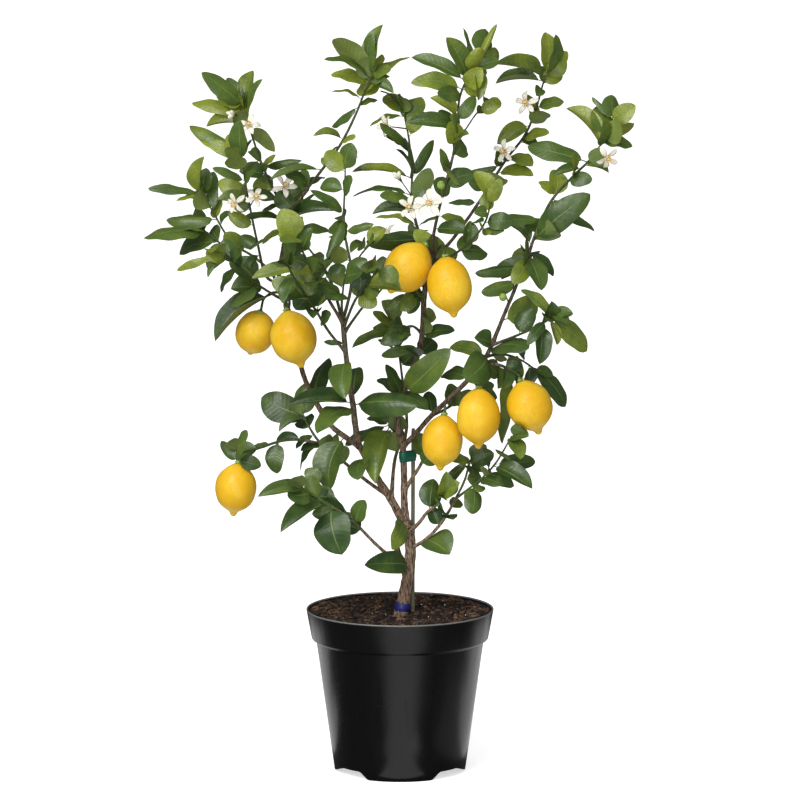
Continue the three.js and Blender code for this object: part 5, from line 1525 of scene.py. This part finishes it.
class LeavesOperator(bpy.types.Operator):
    """Adds every leaf of the frame, and small leaves between them"""
    bl_idname = "lemon_tree.leaves"
    bl_label = "Leaves"

    def execute(self, context):
        settings = context.scene.lemon_leaves
        found = frame_leaves()
        found += [leaf_by_hand(stem, row, 0)
                  for stem in STEMS.values() for row in THIN_LEAVES.get(stem.name, ())]
        spots = {}
        for order, leaf in enumerate(found + extra_leaves(found, settings.spacing / MM)):
            draw = draws(order + 901)
            root = leaf.stem.smooth(leaf.share)
            reach = leaf.tip - root
            along = reach.normalized()
            side = leaf_axes(leaf)[0]
            side = (side - along * side.dot(along)).normalized()
            # Leaves are paler high in the crown and towards the ends of the shoots.
            height = min(1, max(0, (leaf.tip.z - TONE.crown_foot) / TONE.crown_rise))
            spread = (order * 0.618 + 0.4 * draw()) % 1
            tone = (TONE.least + TONE.by_height * height
                    + (TONE.spread + TONE.spread_by_height * height) * spread ** TONE.power)
            tone += TONE.by_share * (leaf.share - 0.5)
            kind = int(draw() * len(LEAF_KINDS)) % len(LEAF_KINDS)
            width = leaf.width * (WIDER[0] + WIDER[1] * draw())
            spots.setdefault(leaf.stem.node, Points()).add(
                root, (side, along, side.cross(along)), (width / 2, reach.length, reach.length),
                kind, min(1, max(0, tone)))
        tree = scatter_tree()
        finish = leaf_finish(settings)
        kinds = shape_collection(
            "leaf_kinds", [leaf_shape(f"leaf_{i}", *kind) for i, kind in enumerate(LEAF_KINDS)])
        for name, points in sorted(spots.items()):
            piece(points.grown(tree, f"{name}_leaves", kinds, finish), "foliage", name)
        drop_shapes(kinds)
        bpy.data.node_groups.remove(tree)
        return {"FINISHED"}


class LemonsOperator(bpy.types.Operator):
    """Adds the ripe lemons with their calyxes, and the green fruitlets"""
    bl_idname = "lemon_tree.lemons"
    bl_label = "Lemons"

    def execute(self, context):
        settings = context.scene.lemon_fruit
        rind = rind_finish(settings)
        green = green_finish(settings)
        calyxes = []
        for order, (name, lemon) in enumerate(FRUIT.items()):
            turn = turned_to(lemon.axis)

            def swollen(spot, angle):
                x, y, z = spot
                lump = noise.noise(Vector(spot) * LUMPS.large_scale + Vector((17 * order, 0, 0)))
                fine = noise.noise(Vector(spot) * LUMPS.fine_scale + Vector((0, 31 * order, 0)))
                end = max(0, abs(z / lemon.length) * 2 - LUMPS.rib_from)
                ribs = LUMPS.rib_height * end * cos(LUMPS.ribs * angle + order) if z > 0 else 0
                grow = 1 + LUMPS.large * lump + LUMPS.fine * fine - ribs
                return x * grow, y * grow, z + LUMPS.lift * lump

            def lobed(spot, angle):
                x, y, z = spot
                radius, wave = hypot(x, y), cos(LOBES.count * angle)
                grow = 1 + LOBES.depth * wave * min(1, radius / LOBES.inside)
                return x * grow, y * grow, z + LOBES.lift * wave * (radius > LOBES.inside)

            profile = [(radius * (lemon.width / 2), (share - 0.5) * lemon.length)
                       for share, radius in LEMON_PROFILE]
            points, faces = lathe(profile, settings.sides, swollen)
            placed = [turn @ Vector(point) + lemon.centre for point in points]
            fruit = object_of(mesh_of(f"{name}_fruit", placed, faces), rind)
            heights = [z / lemon.length for _, _, z in points]
            give(fruit.data, "ripeness", [
                min(1.0, max(0, 1 - (z + 0.5) / 0.12) + max(0, 1 - (0.5 - z) / 0.07))
                for z in heights])
            piece(fruit, "lemon_rind", name)
            calyxes.append(turned_body("calyx", CALYX_PROFILE, 30, green,
                                       lemon.top + lemon.axis * SEAT_RISE, turn, lobed))
        piece(joined("lemon_calyxes", calyxes), "foliage")

        small = []
        for _, _, centre, radius in FRUITLETS:
            profile = [(radius * sin(pi * i / 12) * 0.92, -radius * cos(pi * i / 12))
                       for i in range(13)]
            small.append(turned_body("fruitlet", profile, 20, green, Vector(centre)))
        piece(joined("green_fruitlets", small), "foliage")
        return {"FINISHED"}


class BlossomOperator(bpy.types.Operator):
    """Adds the open flowers and the clusters of buds"""
    bl_idname = "lemon_tree.blossom"
    bl_label = "Blossom"

    def execute(self, context):
        settings = context.scene.lemon_blossom
        white = petal_finish(settings)
        yellow = anther_finish(settings)
        green = green_finish(context.scene.lemon_fruit)
        tree = scatter_tree()
        shapes = shape_collection("blossom_shapes", [
            *(petal_shape(f"a_petal_{i}", *kind) for i, kind in enumerate(PETAL_KINDS)),
            spindle_shape("b_filament", 5, (0, 0), (0.01, 0.07), (0.98, 0.04), (1, 0)),
            spindle_shape("c_bud", 12, (0, 0), (0.03, 0.12), (0.25, 0.2), (0.6, 0.27),
                          (0.85, 0.2), (0.97, 0.08), (1, 0))])
        dust = shape_collection("anther_shapes", [
            spindle_shape("anther", 6, (0, 0), (0.15, 0.24), (0.8, 0.28), (1, 0))])
        for order, (name, (stem, at, base, span)) in enumerate(FLOWERS.items()):
            draw = draws(order + 77)
            base, axis = flower_seat(stem, at, base)
            turn = turned_to(axis)
            seat = base + axis * SEAT_OF_HEART
            pale, gold = Points(), Points()

            def across(angle, lean):
                """Axes of a shape that points aside by an angle and up by a lean."""
                out = Vector((cos(angle), sin(angle), 0))
                along = (out * cos(lean) + Vector((0, 0, 1)) * sin(lean)).normalized()
                side = along.cross(Vector((0, 0, 1))).normalized()
                return [turn @ one for one in (side, along, side.cross(along))]

            for i in range(PETAL.count if span else 0):
                angle = 2 * pi * i / PETAL.count + PETAL.turn_draw * (draw() - 0.5)
                long = span / 2 * (PETAL.shortest + PETAL.length_draw * draw())
                axes = across(angle, PETAL.lean_draw * (draw() - 0.5))
                roll = Quaternion(axes[1], PETAL.roll_draw * (draw() - 0.5))
                kind = int(draw() * len(PETAL_KINDS)) % len(PETAL_KINDS)
                pale.add(seat + axis * PETAL.rise, [roll @ one for one in axes],
                         (long * PETAL.half_width, long, long), kind, PETAL.tone)
            for i in range(settings.stamens if span else 0):
                angle = 2 * pi * i / settings.stamens + STAMEN.turn_draw * draw()
                lean, tall, aside = STAMEN.outer if i % 3 else STAMEN.inner
                axes = across(angle, lean + STAMEN.lean_draw * draw())
                tall += STAMEN.length_draw * draw()
                out = turn @ Vector((cos(angle), sin(angle), 0))
                foot = seat + axis * STAMEN.rise + out * aside
                pale.add(foot, axes, (tall, tall, tall), FILAMENT, 0.0)
                gold.add(foot + axes[1] * tall * STAMEN.anther_at, axes, STAMEN.anther, 0, 0.0)
            for i in range(0 if span else BUDS.count):
                angle = 2 * pi * i / BUDS.count
                lean = Vector((BUDS.lean * cos(angle), BUDS.lean * sin(angle), 1)).normalized()
                side = lean.cross(Vector((-sin(angle), cos(angle), 0))).normalized()
                axes = [turn @ one for one in (side, lean, side.cross(lean))]
                long = BUDS.longest * (BUDS.shortest + BUDS.length_draw * draw())
                pale.add(seat + axis * BUDS.rise, axes, (long, long, long), BUD, BUDS.tone)

            parts = [pale.grown(tree, "pale_parts", shapes, white)]
            if span:
                parts.append(gold.grown(tree, "gold_parts", dust, yellow))
            profile, finish = (HEART_PROFILE, white) if span else (CLUSTER_PROFILE, green)
            parts.append(turned_body("heart", profile, 14, finish, seat, turn))
            piece(joined(f"{name}_bloom", parts), "petal", name)
        drop_shapes(shapes)
        drop_shapes(dust)
        bpy.data.node_groups.remove(tree)
        return {"FINISHED"}


class TiesOperator(bpy.types.Operator):
    """Adds the stake, the tape that ties the stem to it and the band at the trunk's foot"""
    bl_idname = "lemon_tree.ties"
    bl_label = "Stake and Ties"

    def execute(self, context):
        settings = context.scene.lemon_ties
        foot, top = Vector(STAKE.foot), Vector(STAKE.top)
        count = STAKE.rings
        radii = [STAKE.between_nodes
                 + STAKE.node_swell * max(0, cos(2 * pi * i / STAKE.node_gap)) ** 20
                 for i in range(count)]
        line = Strands()
        line.add([foot.lerp(top, i / count) for i in range(count + 1)], [*radii, STAKE.end],
                 [1.0] * (count + 1))
        tree = stem_tree()
        stake = line.grown(tree, "wooden_stake", stake_finish(settings), Sides=14, Step=3 * MM,
                           Lumps=0.05, Seed=50.0)
        bpy.data.node_groups.remove(tree)
        piece(stake, "stake", "stake")

        middle = TAPE.bottom + TAPE.height / 2
        at_stake = foot.lerp(top, (middle - foot.z) / (top.z - foot.z))
        stem = STEMS["mid_stem"]
        at_stem = stem.smooth(TAPE.stem_share)

        def arc(centre, radius, low, high, count):
            return [(centre.x + radius * cos(low + (high - low) * i / count),
                     centre.y + radius * sin(low + (high - low) * i / count))
                    for i in range(count + 1)]

        def round_two(extra):
            """Points of a band drawn tight round the stem and the stake."""
            first, second = stem.last + extra, STAKE.radius + extra
            apart = (at_stake - at_stem).xy
            facing = atan2(apart.y, apart.x)
            opened = acos((first - second) / apart.length)
            return (arc(at_stem, first, facing + opened, facing + 2 * pi - opened, 16)
                    + arc(at_stake, second, facing - opened, facing + opened, 16))

        def wrap(name, inner, outer, bottom, height, finish, phase):
            """A closed band between an inner and an outer outline, its edges a little uneven."""
            points = []
            for (x, y), (u, v) in zip(inner, outer):
                low, high = (
                    z + EDGE.wave * noise.noise(Vector((u, v, place)) * EDGE.fineness)
                    for z, place in ((bottom, phase), (bottom + height, phase + 9)))
                points += [(x + (u - x) * share, y + (v - y) * share, z) for share, z in (
                    (0, low), (EDGE.bevel_from, low), (1, low + EDGE.bevel), (1, (low + high) / 2),
                    (1, high - EDGE.bevel), (EDGE.bevel_from, high), (0, high))]
            count, ring = len(inner), len(points) // len(inner)
            faces = [(i * ring + k, j * ring + k, j * ring + m, i * ring + m)
                     for i, j in ((i, (i + 1) % count) for i in range(count))
                     for k, m in ((k, (k + 1) % ring) for k in range(ring))]
            return object_of(mesh_of(name, points, faces), finish)

        tape = tape_finish("tie_tape", settings.tape)
        piece(joined("tie_tape_wraps", [
            wrap("tape_wrap", round_two(inner), round_two(outer),
                 TAPE.bottom + TAPE.height * start, TAPE.height * share, tape, phase)
            for inner, outer, start, share, phase in TAPE.wraps]), "tie_tape", "tie_tape")

        bole = STEMS["bole"].points
        slant = (bole[1] - bole[0]).normalized()
        seat = bole[0] + slant * ((BAND.bottom - bole[0].z) / slant.z)
        placed = Matrix.Translation(seat * MM) @ turned_to(slant).to_matrix().to_4x4()
        blue = tape_finish("graft_band", settings.band)
        bands = []
        for inner, outer, start, share in BAND.wraps:
            circles = [[(radius * cos(2 * pi * i / 40), radius * sin(2 * pi * i / 40))
                        for i in range(40)] for radius in (inner, outer)]
            bands.append(wrap("band_wrap", *circles, BAND.height * start,
                              BAND.height * share, blue, 3 + start))
            bands[-1].data.transform(placed)
        piece(joined("graft_band_wraps", bands), "graft_band", "graft_band")
        return {"FINISHED"}


class LemonTreePanel(bpy.types.Panel):
    """Lists the lemon tree's pieces and their settings"""
    bl_idname = "VIEW3D_PT_lemon_tree"
    bl_label = "Potted Lemon Tree"
    bl_space_type = "VIEW_3D"
    bl_region_type = "UI"
    bl_category = "Lemon Tree"

    def draw(self, context):
        for operator, holder in PIECES:
            box = self.layout.box()
            box.operator(operator.bl_idname, text=operator.bl_label)
            settings = getattr(context.scene, holder)
            for name in settings.__annotations__:
                box.prop(settings, name)


PIECES = (
    (StageOperator, "lemon_stage"), (PotOperator, "lemon_pot"), (SoilOperator, "lemon_soil"),
    (StemsOperator, "lemon_stems"), (LeavesOperator, "lemon_leaves"),
    (LemonsOperator, "lemon_fruit"), (BlossomOperator, "lemon_blossom"),
    (TiesOperator, "lemon_ties"),
)
CLASSES = (*SETTINGS.values(), *(operator for operator, _ in PIECES), LemonTreePanel)


def register():
    for one in CLASSES:
        bpy.utils.register_class(one)
    for holder, settings in SETTINGS.items():
        setattr(bpy.types.Scene, holder, PointerProperty(type=settings))


def unregister():
    for holder in SETTINGS:
        delattr(bpy.types.Scene, holder)
    for one in reversed(CLASSES):
        bpy.utils.unregister_class(one)


def main():
    register()
    for operator, _ in PIECES:
        group, name = operator.bl_idname.split(".")
        getattr(getattr(bpy.ops, group), name)()


if __name__ == "__main__":
    main()
